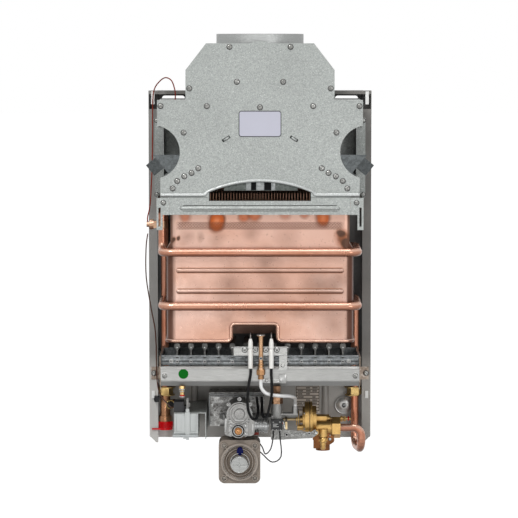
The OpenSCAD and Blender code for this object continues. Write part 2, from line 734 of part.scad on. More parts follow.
module chamber_shell() {
    hem_y = -shell_front + shell_t;
    hem_z = -shell_drop + 0.2;
    hem_x = shell_low_half - shell_t;
    hem_end = -shell_back - shell_corner;
    hem_bends = [0, shell_corner - shell_t, 6, 6, 6, 6, shell_corner - shell_t, 0];
    notch_z = hem_z + notch_h;
    sight_half = arch_half + 3;
    color("#d08a68") {
        difference() {
            union() {
                duct(0);
                beads(bead_r);
            }
            difference() {
                union() {
                    duct(shell_t);
                    beads(bead_r - shell_t);
                }
                block([-shell_low_half, -shell_front, -shell_rise - 1], [shell_low_half, -shell_back, 0]);
                block([-shell_low_half, -shell_front, -shell_drop - 1],
                    [shell_low_half, -shell_back, -shell_drop]);
            }
            block([-shell_top_half + shell_t, -shell_front + shell_t, -shell_rise - 2],
                [shell_top_half - shell_t, -shell_back - shell_t, -shell_rise + 1]);
            block([-sight_half, -shell_front - 1, rail_top - rail_step - 3],
                [sight_half, -shell_front + shell_t + 1, -shell_rise + 1]);
            slab(shell_front - 4, shell_front + 4) translate([notch_x - notch_half, -shell_drop - 1])
                square([2 * notch_half, notch_h + 1]);
            tube_holes(coil_r + tube_gap, shell_top_half + 1);
        }
        difference() {
            pipe([[-hem_x, hem_end, hem_z], [-hem_x, hem_y, hem_z],
                [notch_x - notch_half, hem_y, hem_z], [notch_x - notch_half, hem_y, notch_z],
                [notch_x + notch_half, hem_y, notch_z], [notch_x + notch_half, hem_y, hem_z],
                [hem_x, hem_y, hem_z], [hem_x, hem_end, hem_z]], hem_r, hem_bends);
            translate([0, shell_y, hem_z - 2 * hem_r]) linear_extrude(notch_h + 4 * hem_r)
                rounded(hem_x, shell_d / 2 - shell_t, shell_corner - shell_t);
        }
    }
}
fin_margin = 1.5;
fin_half = shell_top_half - shell_t - 5;
fin_steps = floor(fin_half / fin_pitch);
module fin_pack() {
    color("#6b4a38") difference() {
        for (i = [-fin_steps:fin_steps])
            block([i * fin_pitch - fin_t / 2, -shell_front + shell_t + fin_margin, tube_z - fin_h / 2],
                [i * fin_pitch + fin_t / 2, -shell_back - shell_t - fin_margin, tube_z + fin_h / 2]);
        tube_holes(coil_r + tube_gap, shell_top_half);
    }
}
tube_end = shell_top_half + 1;
module return_bend(side, y) {
    translate([side * tube_end, y - tube_pitch / 2, tube_z]) rotate([0, 0, side > 0 ? -90 : 90])
        rotate_extrude(angle = 180) translate([tube_pitch / 2, 0]) circle(coil_r);
}
module exchanger_tubes() {
    color("#b5694a") {
        for (y = tube_ys) bar_x(-tube_end, tube_end, y, tube_z, coil_r);
        for (i = [0:tube_count - 2]) return_bend(i % 2 == 0 ? 1 : -1, tube_ys[i]);
    }
}
coil_back = -shell_back + coil_r + 0.3;
last_tube = tube_ys[tube_count - 1];
riser_top_bend = 11;
link_x = 100;
coil_pts = [[side_x, -riser_y, -union_drop], [side_x, -riser_y, -coil_low],
    [side_x, -coil_front, -coil_low], [-side_x, -coil_front, -coil_low],
    [-side_x, coil_back, -coil_low], [link_x, coil_back, -coil_low], [link_x, coil_back, -coil_high],
    [side_x, coil_back, -coil_high], [side_x, -coil_front, -coil_high],
    [-side_x, -coil_front, -coil_high], [-side_x, last_tube, -coil_high],
    [-side_x, last_tube, tube_z], [-tube_end, last_tube, tube_z]];
coil_bends = [0, 14, coil_bend, coil_bend, coil_tight, 14, 14, coil_tight, coil_bend, coil_bend,
    14, riser_top_bend, 0];
module coil_pipe() {
    color("#c87850") pipe(coil_pts, coil_r, coil_bends);
}
module outlet_pipe() {
    color("#b5694a") pipe([[-tube_end, tube_ys[0], tube_z], [-side_x, tube_ys[0], tube_z],
        [-side_x, -riser_y, tube_z], [-side_x, -riser_y, -union_drop]], riser_r, riser_top_bend);
}
water_z = -water_drop;
nut_start = 106.4;
nut_len = 12;
leg_x = 150;
loop_z = -516.5;
module inlet_pipe() {
    color("#c87850") cord(route([[side_x, -riser_y, -union_drop], [side_x, -riser_y, loop_z],
        [leg_x, -valve_y, loop_z], [leg_x, -valve_y, water_z], [nut_start, -valve_y, water_z]],
        [0, 17, 17, 13, 0]), riser_r, 20);
}
module union_nuts() {
    color("#b08a45") both() translate([side_x, -riser_y, -union_drop - union_h / 2]) difference() {
        cylinder(h = union_h, d = union_af / cos(30), $fn = 6);
        translate([0, 0, -1]) cylinder(h = union_h + 2, r = coil_r + tube_gap);
    }
}
thermostat_z = -184;
module limit_thermostat() {
    color("#a06a45") {
        translate([-side_x, last_tube, thermostat_z]) difference() {
            cylinder(h = 10, r = coil_r + 1.3);
            translate([0, 0, -1]) cylinder(h = 12, r = coil_r + tube_gap);
        }
        block([-side_x - 13, last_tube - 6, thermostat_z],
            [-side_x - coil_r - 0.9, last_tube + 6, thermostat_z + 10]);
        bar_x(-side_x - 19, -side_x - 13, last_tube, thermostat_z + 5, 7.5);
        bar_x(-side_x - 23, -side_x - 19, last_tube, thermostat_z + 5, 4);
    }
}

// Burner
blade_half = (blade_count - 1) / 2;
blade_low = -mixer_drop;
module blade() {
    top = -blade_drop;
    neck = top - blade_head_h;
    slab(blade_front - blade_len, blade_front) polygon(mirrored([[blade_t / 2, neck],
        [blade_head_w / 2, neck + blade_head_h * 0.45], [blade_head_w / 2, top - 2],
        [blade_head_w / 2 - 1.5, top]]));
    difference() {
        union() {
            block([-blade_t / 2, -blade_front, blade_low],
                [blade_t / 2, -blade_front + blade_len, neck]);
            bar_y(-blade_front, -blade_front + blade_len * 0.6, 0, blade_low, mixer_r, 32);
        }
        bar_y(-blade_front - 1, -blade_front + blade_len * 0.5, 0, blade_low, mixer_r - 1.2, 32);
    }
}
module burner_blades() {
    color("#8d9294") for (i = [-blade_half:blade_half]) translate([i * blade_pitch, 0, 0]) blade();
}
tray_front = -blade_front - 0.2;
tray_top = -tray_drop;
tray_back = -blade_front + blade_len + 1;
module burner_tray() {
    color("#6d7274") {
        difference() {
            slab(-tray_front, 1 - tray_front) translate([-tray_half, tray_top - tray_h])
                square([2 * tray_half, tray_h]);
            for (i = [-blade_half:blade_half])
                block([i * blade_pitch - blade_t, tray_front - 2, tray_top - tray_h + 3],
                    [i * blade_pitch + blade_t, tray_front + 1, tray_top - 3]);
        }
        slab(-tray_back - 1, -tray_back) translate([-tray_half, tray_top - tray_h])
            square([2 * tray_half, tray_h]);
        both() block([tray_half - 1, tray_front, tray_top - tray_h], [tray_half, tray_back, tray_top]);
        both() block([blade_half * blade_pitch + blade_head_w / 2 + 0.2, tray_front, tray_top - tray_h],
            [tray_half - 1, tray_back, tray_top - tray_h + 1]);
    }
}
man_back = -manifold_back;
man_front = man_back - manifold_d;
man_top = -manifold_drop;
man_low = man_top - manifold_h;
module gas_manifold() {
    color("#b2b5b3") translate([-manifold_half, 0, 0]) rotate([90, 0, 90]) linear_extrude(2 * manifold_half)
        polygon([[man_back, man_low], [man_back, man_top], [man_front + 3, man_top],
            [man_front, man_top - 2.5], [man_front, man_low + 7.5], [man_front + 7, man_low]]);
}
module injectors() {
    color("#b08a45") for (i = [-blade_half:blade_half]) {
        bar_y(man_back, -blade_front - 0.4, i * blade_pitch, blade_low, injector_r + 1.2, 6);
        bar_y(-blade_front - 0.4, -blade_front + 2, i * blade_pitch, blade_low, injector_r, 24);
    }
}
ear_front = lip_front - 0.2 - side_plate_t;
ear_h = 19;
ear_low = man_low - 7;
plate_in = manifold_half + 0.2;
module burner_brackets() {
    color("#7c5f4a") both() difference() {
        union() {
            block([plate_in, man_front, man_low + 2],
                [plate_in + side_plate_t, ear_front + side_plate_t, tray_top]);
            block([plate_in, man_front + 20, ear_low], [plate_in + side_plate_t,
                ear_front + side_plate_t, man_low + 3]);
            block([plate_in + side_plate_t, ear_front, ear_low],
                [panel_half - 3, ear_front + side_plate_t, ear_low + ear_h]);
        }
        bar_z(ear_low - 1, tray_top + 1, side_x, -riser_y, coil_r + 0.5);
    }
}
nipple_x = -112.6;
module test_nipple() {
    color("#b08a45") translate([nipple_x, man_back - manifold_d / 2 + 2, 0]) {
        translate([0, 0, man_low - 4]) cylinder(h = 4, r = 4.6, $fn = 6);
        translate([0, 0, man_low - 15]) cylinder(h = 11, r = 3.2);
        translate([0, 0, man_low - 17]) cylinder(h = 2, r = 2.2);
    }
}

// Pilot burner and electrodes
pilot_plate_front = man_front - 1.2;
pilot_y = pilot_plate_front - 0.3 - ceramic_r;
electrode_bar_top = -353;
electrode_bar_low = -366.4;
spark_xs = [pilot_x - electrode_span / 2, pilot_x + electrode_span / 2];
module electrode_bracket() {
    color("#c4c8c6") {
        slab(-man_front, -pilot_plate_front) {
            difference() {
                translate([-38, electrode_bar_low]) square([77, electrode_bar_top - electrode_bar_low]);
                translate([pilot_x, electrode_bar_low]) circle(2);
            }
            translate([27.6, man_top - 4.6]) square([11.7, electrode_bar_low - man_top + 4.6]);
            translate([2, man_top - 23]) square([35, 6]);
        }
    }
}
module electrode_ceramics() {
    color("#f2f2ee") for (x = spark_xs) translate([x, pilot_y, -ceramic_drop]) rotate_extrude()
        polygon([[0, 0], [ceramic_r, 0], [ceramic_r, 26], [ceramic_r - 0.8, 28], [ceramic_r, 30],
            [ceramic_r, ceramic_len - 6], [ceramic_r - 1.4, ceramic_len], [0, ceramic_len]]);
}
pin_top = ceramic_len - ceramic_drop + 5.5;
module electrode_pins() {
    color("#9c9f9e") for (x = spark_xs)
        pipe([[x, pilot_y, ceramic_len - ceramic_drop], [x, pilot_y, pin_top],
            [x, -shell_front + 4, pin_top]], pin_r, 3);
}
pilot_top = -337;
pilot_nut_top = -383.5;
pilot_base = -399.5;
module pilot_burner() {
    color("#b9855a") {
        difference() {
            bar_z(pilot_nut_top, pilot_top, pilot_x, pilot_y, pilot_r);
            bar_y(pilot_y - pilot_r - 1, pilot_y, pilot_x, -365, 1.3);
        }
        bar_z(pilot_top, pilot_top + 1.2, pilot_x, pilot_y, 6);
        bar_y(pilot_y + pilot_r * 0.9, -shell_front + 6, pilot_x, pilot_top - 4, 2);
        bar_z(pilot_nut_top - 10, pilot_nut_top, pilot_x, pilot_y, 5.2, 6);
        bar_z(pilot_base, pilot_nut_top - 10, pilot_x, pilot_y, 3.6);
    }
}
pilot_end = [51.5, -valve_y - 20, -449];
module pilot_tube() {
    color("#c9ccca") cord(route([[pilot_x, pilot_y, pilot_base], [pilot_x, pilot_y, -418], [32, -165, -424],
        [51.5, -130, -431], [51.5, -100, -437], pilot_end], [0, 8, 8, 10, 8, 0], 5), pilot_tube_r, 10);
}

// Spark leads, as cords along hand-chosen points
lead_r = 2;
bracket_front = -56;
lead_ends = [-4.5, 2.5];
lead_end_z = -442;
lead_left = [[-13.7, pilot_y, -ceramic_drop - 0.3], [-13.7, -169, -393], [-17, -172, -412],
    [-18, -164, -432], [-17, -155, -447], [-12, -150, -459], [-6, -146, -461], [-3, -140, -454],
    [-3, -126, -446], [-4, -100, -443], [lead_ends[0], bracket_front - 14, lead_end_z],
    [lead_ends[0], bracket_front - 4.1, lead_end_z]];
lead_right = [[16.3, pilot_y, -ceramic_drop - 0.3], [16.3, -169, -393], [17, -174, -412], [16, -172, -428],
    [13, -160, -444], [10, -152, -456], [5, -146, -458], [3, -138, -451], [3, -124, -445],
    [3, -100, -443], [lead_ends[1], bracket_front - 14, lead_end_z],
    [lead_ends[1], bracket_front - 4.1, lead_end_z]];
module spark_leads() {
    color("#1c1c1e") for (lead = [lead_left, lead_right]) cord(curve(lead, 2), lead_r);
}

// Gas valve: housing, cover, spindle, solenoid and the riser to the manifold
gas_x = -30;
gas_z = -465;
gas_back = -62;
gas_front = gas_back - gas_d;
gas_low = gas_z - gas_h / 2;
gas_right = gas_x + gas_w / 2;
axis_y = -valve_y;
rod_z = -rod_drop;
arm_end = 32;
arm_r = 9;
neck_x = 24.5;
neck_y = axis_y - 18;
neck_top = -445;
pilot_arm_z = -461;
spindle_x = -31.7;
spindle_z = -481.5;
reg_x = -30;
reg_z = -528;
reg_back = -76;
reg_neck_y = -95;
reg_top = reg_z + reg_h / 2;
module gas_valve_body() {
    color("#a9a9a4") difference() {
        union() {
            slab(-gas_back, -gas_front) {
                translate([gas_x, gas_z + gas_h / 2 - gas_dome_r]) circle(gas_dome_r);
                translate([gas_x - gas_dome_r, gas_low + 6])
                    square([2 * gas_dome_r, gas_h - gas_dome_r - 6]);
                translate([gas_x, gas_low + 13]) rounded(gas_w / 2, 13, 6);
            }
            translate([gas_x, gas_front, gas_z + 8]) rotate([90, 0, 0]) rotate_extrude()
                polygon([[0, 0], [gas_ring_r, 0], [gas_ring_r - 0.6, 4], [gas_ring_r - 3, 4],
                    [gas_ring_r - 3.6, 2], [8, 2], [7, 5], [0, 5]]);
            bar_x(gas_x - gas_w / 2 - 7, gas_x, axis_y - 22, gas_z - 6, 7);
            bar_x(gas_right - 5, arm_end, axis_y, rod_z, arm_r);
            block([17, neck_y - 7, rod_z - 7], [arm_end, axis_y, rod_z + 9]);
            bar_z(rod_z, neck_top, neck_x, neck_y, 8.3);
            bar_x(arm_end - 2, pilot_end[0] + 4.5, pilot_end[1], pilot_arm_z, 3.5);
            bar_z(pilot_arm_z, pilot_end[2], pilot_end[0], pilot_end[1], 4.6, 6);
            bar_y(link_front + link_t, neck_y, 20, rod_z - 1, 3);
        }
        bar_x(arm_end - 7 - rod_travel, arm_end + 1, axis_y, rod_z, rod_r + run_gap);
        bar_y(gas_front - 1, gas_front + 8, spindle_x, spindle_z, gas_spindle_r + run_gap);
    }
}
cover_t = 7;
module gas_valve_cover() {
    ear = 11;
    color("#b3b2ad") difference() {
        union() {
            slab(-gas_front, cover_t - 3 - gas_front) translate([spindle_x, spindle_z + 3]) {
                rounded(ear + 3, ear, 4);
                circle(12.5);
            }
            bar_y(gas_front - cover_t, gas_front, spindle_x, spindle_z, 8.6);
        }
        bar_y(gas_front - cover_t - 1, gas_front + 1, spindle_x, spindle_z, gas_spindle_r + run_gap);
        bar_y(gas_front - 5, gas_front + 1, gas_x, gas_z + 8, gas_ring_r + face_gap);
    }
}
module gas_spindle() {
    color("#c79a52") difference() {
        union() {
            bar_y(gas_front - cover_t - 9, gas_front + 7, spindle_x, spindle_z, gas_spindle_r);
            bar_y(gas_front - cover_t - 2, gas_front - cover_t - face_gap, spindle_x, spindle_z,
                gas_spindle_r + 2);
        }
        block([spindle_x + gas_spindle_r - 1.2, gas_front - cover_t - 10, spindle_z - 6],
            [spindle_x + 9, gas_front - cover_t - 2.5, spindle_z + 6]);
    }
}
module gas_solenoid() {
    color("#9fa3a4") {
        bar_x(gas_right, gas_right + 3, axis_y - 21, rod_z - 6, solenoid_r);
        bar_x(gas_right + 3, gas_right + 15, axis_y - 21, rod_z - 6, solenoid_r - 1.5);
        bar_x(gas_right + 15, gas_right + 18, axis_y - 21, rod_z - 6, solenoid_r);
        bar_x(gas_right + 18, gas_right + 21, axis_y - 21, rod_z - 6, solenoid_r - 4);
    }
}
riser_low = neck_top + 14;
module gas_riser() {
    color("#8a6a48") {
        bar_z(neck_top, riser_low, neck_x, neck_y, 9.2, 6);
        pipe([[neck_x, neck_y, riser_low], [neck_x, neck_y, -421], [neck_x, man_back - 5, -421],
            [neck_x, man_back - 5, man_low]], 5.5, 7);
    }
}
function ring_of(n, r, start = 0) = [for (i = [0:n - 1])
    r * [cos(start + i * 360 / n), sin(start + i * 360 / n)]];
module small_screws() {
    color("#9a9c9b") {
        for (s = [-1, 1]) translate([spindle_x + s * 11, gas_front - 4, spindle_z + 9]) head(2, 1.4);
        for (s = [-1, 1]) translate([spindle_x + s * 11, gas_front - 4, spindle_z - 4]) head(2, 1.4);
        for (x = [-1, 1], z = [-1, 1])
            translate([reg_x + x * (reg_w / 2 - 8), reg_cover_front + 3, reg_z + z * (reg_h / 2 - 8)])
                head(2.8, 1.6);
        for (p = ring_of(6, diaphragm_r - 3, 30))
            translate([cover_left, axis_y + p[0], rod_z + p[1]]) rotate([0, 0, -90]) head(2, 1.8);
        translate([82, strap_front, link_low + 7]) head(3, 1.8);
        translate([20, link_front, rod_z - 16]) head(2, 1.2);
        for (x = [9.5, 30.5]) translate([x, pilot_plate_front, man_top - 20]) head(2.4, 1.6);
        translate([33, pilot_plate_front, man_top + 2]) head(2.8, 1.8);
    }
}

// Gas pressure regulator under the valve
reg_front = reg_back - reg_d;
reg_cover_front = reg_front - reg_cover_t;
reg_tower_front = reg_cover_front - reg_tower_h;
module regulator_body() {
    color("#8e8379") difference() {
        union() {
            slab(-reg_back, -reg_front) translate([reg_x, reg_z]) rounded(reg_w / 2, reg_h / 2, 9);
            bar_z(reg_top - 1, gas_low, reg_x, reg_neck_y, 10);
        }
        bar_z(reg_z - reg_h / 2 - 1, reg_z - reg_h / 2 + gas_inlet_len, reg_x, reg_neck_y, gas_inlet_r);
    }
}
module regulator_cover() {
    color("#968b80") difference() {
        union() {
            slab(-reg_front, -reg_cover_front - 3) translate([reg_x, reg_z])
                rounded(reg_w / 2, reg_h / 2, 9);
            translate([reg_x, reg_cover_front + 3, reg_z]) rotate([90, 0, 0]) rotate_extrude()
                polygon([[0, 0], [reg_ring_r, 0], [reg_ring_r - 1.5, 3], [reg_ring_r - 4, 3],
                    [reg_ring_r - 6, 1], [reg_cap_r + 6, 0.6], [reg_cap_r + 4, 3],
                    [reg_cap_r + 1.6, reg_tower_h + 3], [0, reg_tower_h + 3]]);
        }
        bar_y(reg_tower_front - 1, reg_cover_front + 6, reg_x, reg_z, reg_cap_r + run_gap);
    }
}
module regulator_cap() {
    cap_front = reg_tower_front - 12;
    color("#b9bdbb") difference() {
        bar_y(cap_front, reg_cover_front + 6 - face_gap, reg_x, reg_z, reg_cap_r, 64);
        for (a = [0, 90]) translate([reg_x, cap_front, reg_z]) rotate([0, a, 0])
            block([-reg_cap_r + 2, -1, -0.6], [reg_cap_r - 2, 0.8, 0.6]);
    }
}

// Water valve with its diaphragm housing
flange_left = 73.7;
diaphragm_t = 0.8;
cover_right = flange_left - diaphragm_t;
cover_left = cover_right - 7;
flange_right = 83;
link_low = -494;
strap_front = axis_y - diaphragm_r - 2.2;
upper_y = axis_y + 16;
upper_z = -472.5;
body_low = water_z - water_r;
module water_valve_body() {
    color("#b98a3c") difference() {
        union() {
            bar_x(flange_left, flange_left + 3.5, axis_y, rod_z, diaphragm_r);
            bar_x(flange_left + 3.5, flange_right, axis_y, rod_z, diaphragm_r - 6);
            bar_x(flange_right - 1, nut_start, axis_y, water_z, water_r);
            bar_x(flange_right - 1, nut_start - 4, upper_y, upper_z, 6.5);
            block([flange_right - 1, upper_y - 12, water_z], [nut_start - 8, upper_y, upper_z + 5]);
            bar_z(body_low - 3, water_z, 93, cold_y, 12);
            bar_z(body_low - 0.5, water_z, drain_x, drain_y, 6.5);
            bar_y(strap_front + 1.2, axis_y, 82, link_low + 7, 4);
        }
        bar_x(nut_start - 14, nut_start + 1, upper_y, upper_z, water_spindle_r + run_gap);
        bar_z(body_low - 4, body_low + 6, drain_x, drain_y, 3 + run_gap);
    }
    color("#b98a3c") difference() {
        bar_x(nut_start, nut_start + nut_len, axis_y, water_z, outlet_af / 2 / cos(30), 6);
        bar_x(nut_start - 1, nut_start + nut_len + 1, axis_y, water_z, riser_r + tube_gap);
    }
}
module diaphragm_cover() {
    color("#b98a3c") difference() {
        union() {
            bar_x(cover_left, cover_right, axis_y, rod_z, diaphragm_r);
            bar_x(cover_left - 3, cover_left, axis_y, rod_z, diaphragm_r - 7);
            bar_x(cover_left - 7, cover_left, axis_y, rod_z, 5.5);
            bar_x(cover_left - 11, cover_left, axis_y - 8, rod_z - 11, 4.3);
        }
        bar_x(cover_left - 12, cover_right + 1, axis_y, rod_z, rod_r + run_gap);
    }
}
module diaphragm() {
    color("#2a2a2a") bar_x(cover_right, flange_left, axis_y, rod_z, diaphragm_r - 0.4);
}
module water_spindle() {
    color("#c79a52") {
        bar_x(nut_start - 13, nut_start + 28, upper_y, upper_z, water_spindle_r);
        bar_x(nut_start - 4 + face_gap, nut_start - 2, upper_y, upper_z, water_spindle_r + 2);
    }
}
striker_x = 37;
striker_w = 3;
module push_rod() {
    color("#c9a869") {
        bar_x(arm_end - 2, cover_right - face_gap, axis_y, rod_z, rod_r);
        bar_x(striker_x, striker_x + striker_w, axis_y, rod_z, rod_r + 2);
        block([striker_x, switch_y - 3, rod_z - 2], [striker_x + striker_w, axis_y, rod_z + 2]);
        block([striker_x, switch_y - 3, rod_z - 9], [striker_x + striker_w, switch_y + 3, rod_z + 2]);
    }
}
cold_y = axis_y + 6;
drain_x = 93;
drain_y = axis_y - 13;
module drain_plug() {
    color("#b98a3c") translate([drain_x, drain_y, body_low - 0.5 - face_gap]) {
        cylinder(h = 6, r = 3);
        translate([0, 0, -5]) cylinder(h = 5, r = 6.2, $fn = 6);
        translate([0, 0, -11]) cylinder(h = 6, r = 4);
        translate([0, 0, -18]) cylinder(h = 7, r = 5.4);
        translate([0, 0, -20]) cylinder(h = 2, r = 3.4);
    }
}
module cold_inlet() {
    color("#7d4f2e") {
        slab(-cold_y - 10, -cold_y + 10) translate([91.7, body_low - 5.5]) square([27.4, 5], center = true);
        bar_z(body_low - 8 - cold_len, body_low - 8, 93, cold_y, cold_r);
    }
}
switch_y = axis_y - 38;
switch_left = 16;
switch_right = 32.7;
switch_top = -466;
switch_h = 14;
switch_half = 8;
link_t = 1.2;
link_front = switch_y + switch_half + 0.2;
module link_bracket() {
    color("#b5b8b6") {
        block([switch_left, link_front, link_low - 3], [33, link_front + link_t, switch_top]);
        block([32, link_front, link_low - 3], [36, link_front + link_t, rod_z - 11]);
        block([36 - link_t, link_front, link_low - 3], [36, strap_front + link_t, rod_z - 11]);
        slab(-strap_front - link_t, -strap_front) polygon([[36 - link_t, link_low - 3], [76, link_low - 1],
            [81, link_low + 2], [85, link_low + 7], [81, link_low + 12], [74, link_low + 8],
            [36 - link_t, rod_z - 11]]);
    }
}

// Micro switch with its leaf and button
hinge_x = 33.6;
hinge_z = -467;
leaf_len = 13;
leaf_t = 0.5;
leaf_tilt = 13.6;
module micro_switch() {
    color("#1b1b1d") difference() {
        union() {
            block([switch_left, switch_y - switch_half, switch_top - switch_h],
                [switch_right, switch_y + switch_half, switch_top]);
            for (s = [-1, 1]) translate([switch_right, switch_y + s * 6.5, 0])
                block([-1, -1, hinge_z - 1.3], [2, 1, hinge_z + 1]);
            bar_y(switch_y - 6.5, switch_y + 6.5, hinge_x, hinge_z, 0.4, 24);
        }
        bar_x(switch_right - 5, switch_right + 1, switch_y, hinge_z - 4, button_r + run_gap);
    }
    color("#c8cac9") for (x = [19.5, 29])
        block([x - 1, switch_y - 2, switch_top - switch_h - 3],
            [x + 1, switch_y + 2, switch_top - switch_h]);
}
button_r = 1.3;
module switch_button() {
    color("#c23b2c") bar_x(switch_right - 3.6, switch_right + 1.1, switch_y, hinge_z - 4, button_r, 32);
}
module switch_lever() {
    color("#d0d2d0") translate([hinge_x, switch_y, hinge_z]) rotate([0, -leaf_tilt, 0]) difference() {
        union() {
            block([-leaf_t / 2, -4.5, -leaf_len], [leaf_t / 2, 4.5, 0]);
            bar_y(-5.2, 5.2, 0, 0, 0.8, 24);
        }
        bar_y(-6, 6, 0, 0, 0.4 + run_gap, 24);
    }
}

// Hot outlet with its red protective cap
hot_z = -481.2;
hot_end = hot_z - 11;
module hot_outlet() {
    color("#b5794a") translate([-side_x, -riser_y, 0]) difference() {
        union() {
            bar_z(-union_drop - union_h / 2, -union_drop, 0, 0, riser_r);
            bar_z(hot_z + 8, -union_drop - union_h / 2, 0, 0, hot_r);
            bar_z(hot_z, hot_z + 8, 0, 0, hot_thread_r + 1);
            bar_z(hot_end, hot_z, 0, 0, hot_thread_r);
            bar_x(0, 12, 0, -454, 5);
        }
        bar_z(hot_end - 1, -union_drop - union_h / 2 - 2, 0, 0, hot_thread_r - 3);
    }
    color("#1b1b1d") bar_x(-side_x + 12, -side_x + 15, -riser_y, -454, 5.6);
}
cap_wall = 1.4;
cap_r = hot_thread_r + run_gap + cap_wall;
module red_cap() {
    tab_back = lip_front + riser_y - 0.4;
    color("#c8151b") translate([-side_x, -riser_y, 0]) {
        difference() {
            bar_z(hot_end - cap_wall - 0.3, hot_z - face_gap, 0, 0, cap_r);
            bar_z(hot_end - 0.3, hot_z, 0, 0, hot_thread_r + run_gap);
        }
        difference() {
            bar_z(hot_end - cap_wall - 0.3, hot_end + 1.8, 0, 0, cap_r + 1);
            bar_z(hot_end - 0.3, hot_z, 0, 0, cap_r - 0.5);
        }
        block([-20, tab_back - 2, hot_end - cap_wall], [-7.2, tab_back, hot_end + 0.8]);
    }
}

// Battery box with its bracket, lid and the igniter
battery_x = -107.5;
battery_front = -145;
battery_top = -453.6;
battery_low = battery_top - battery_h;
battery_half = battery_w / 2;
battery_back = battery_front + battery_d;
module battery_bracket() {
    color("#c2c5c3") difference() {
        union() {
            block([battery_x - battery_half, battery_front + 5, battery_top],
                [battery_x + battery_half + 11.5, rim_front - 0.2, battery_top + 1]);
            block([battery_x + battery_half + 10.5, battery_front + 5, battery_low - 8],
                [battery_x + battery_half + 11.5, rim_front - 0.2, battery_top]);
            block([battery_x - battery_half, rim_front - 1.2, battery_top - 14],
                [battery_x + battery_half + 10.5, rim_front - 0.2, battery_top]);
        }
        bar_z(battery_top - 15, battery_top + 2, -stiffener_x, rim_front + panel_t, stiffener_r + 0.3);
    }
}
pin_y = battery_back - 1;
pin_z = battery_low - 2.4;
module battery_box() {
    color("#b8bdc0") {
        difference() {
            block([battery_x - battery_half, battery_front, battery_low],
                [battery_x + battery_half, battery_back, battery_top - 0.1]);
            block([battery_x - battery_half + battery_t, battery_front + battery_t, battery_low - 1],
                [battery_x + battery_half - battery_t, battery_back - battery_t, battery_top - battery_t]);
        }
        block([battery_x - 6, battery_front - 1.6, battery_low + 2],
            [battery_x + 6, battery_front, battery_top - 3]);
        for (s = [-1, 1]) translate([battery_x + s * (battery_half - 3), pin_y, pin_z])
            block([-2.5, -1.8, -1.8], [2.5, 1, 2.4]);
        bar_x(battery_x - battery_half + 4, battery_x + battery_half - 4, pin_y, pin_z, 0.9, 32);
    }
}
lid_t = 4;
module battery_lid() {
    lid_top = battery_low - 0.2;
    color("#aeb4b7") difference() {
        union() {
            block([battery_x - battery_half - 2, battery_front - 3, lid_top - lid_t],
                [battery_x + battery_half, pin_y - 3.2, lid_top]);
            block([battery_x - 10, pin_y - 4, pin_z - 1.8], [battery_x + 10, pin_y, pin_z + 1.8]);
            bar_x(battery_x - 10, battery_x + 10, pin_y, pin_z, 1.8);
            block([battery_x - 4, battery_front - 4.6, lid_top - lid_t - 2],
                [battery_x + 4, battery_front - 3, lid_top]);
        }
        bar_x(battery_x - 11, battery_x + 11, pin_y, pin_z, 0.9 + run_gap, 32);
    }
}
module igniter_unit() {
    color("#232326") {
        block([-125.5, -136, battery_top + 1], [-111, -108, battery_top + 16]);
        block([-122, -108, battery_top + 1], [-114.5, -104, battery_top + 8]);
    }
    color("#e9e9e4") block([-111, -130, battery_top + 1], [-107, -114, battery_top + 9]);
}
bracket_left = -75.6;
bracket_right = 6.6;
bracket_top = -434.4;
bracket_low = -484.8;
bracket_t = 1;
module valve_bracket() {
    color("#a7abaa") difference() {
        block([bracket_left, bracket_front, bracket_low], [bracket_right, rim_front - 0.1, bracket_top]);
        block([bracket_left + bracket_t, bracket_front + bracket_t, bracket_low - 1],
            [bracket_right - bracket_t, rim_front - 0.1 - bracket_t, bracket_top - bracket_t]);
    }
    color("#a7abaa") for (s = [-14, 14]) bar_y(gas_back, bracket_front, gas_x + s, gas_z, 4);
    color("#1b1b1d") for (x = [lead_ends[0], lead_ends[1]])
        bar_y(bracket_front - 4, bracket_front, x, lead_end_z, 3.2);
}

// Thin wires, as cords along hand-chosen points
wire_r = 0.9;
fuse_wire = [[-163, last_tube, -174.9], [-163, last_tube, -168], [-160, -105, -150], [-158.5, -70, -100],
    [-158.5, -46, -50], [-158.5, -40, -10], [-156, -42, 14], [-147, -50, 27], [-138, -62, 32],
    [-129, -72, 27], [-124, -80, 12], [-124, -80, shoulder_z - casing_in + 0.1]];
cut_off_wire = [[-163, last_tube, -193], [-166, -112, -215], [-167, -85, -260], [-161, -55, -310],
    [-155, -44, -350], [-153, -44, -420], [-146, -60, -440], [-136, -95, -446],
    [-130, -121, -447], [-125.8, -122, -447]];
switch_wires = [
    [[19.5, -118, -483.1], [19.5, -118, -490], [16, -109, -510], [8, -92, -521], [3, -74, -513],
        [-6, -68, -502], [-14, -67, -495], [-14, -67, -490.1]],
    [[29, -118, -483.1], [29, -118, -490], [31, -106, -522], [18, -86, -534], [4, -70, -525],
        [-12, -67, -509], [-24, -67, -496], [-24, -67, -490.1]]];
module wires() {
    color("#7a2a20") cord(fuse_wire, wire_r, 6);
    color("#3a2a24") cord(cut_off_wire, wire_r, 6);
    color("#202022") for (w = switch_wires) cord(w, wire_r, 6);
}

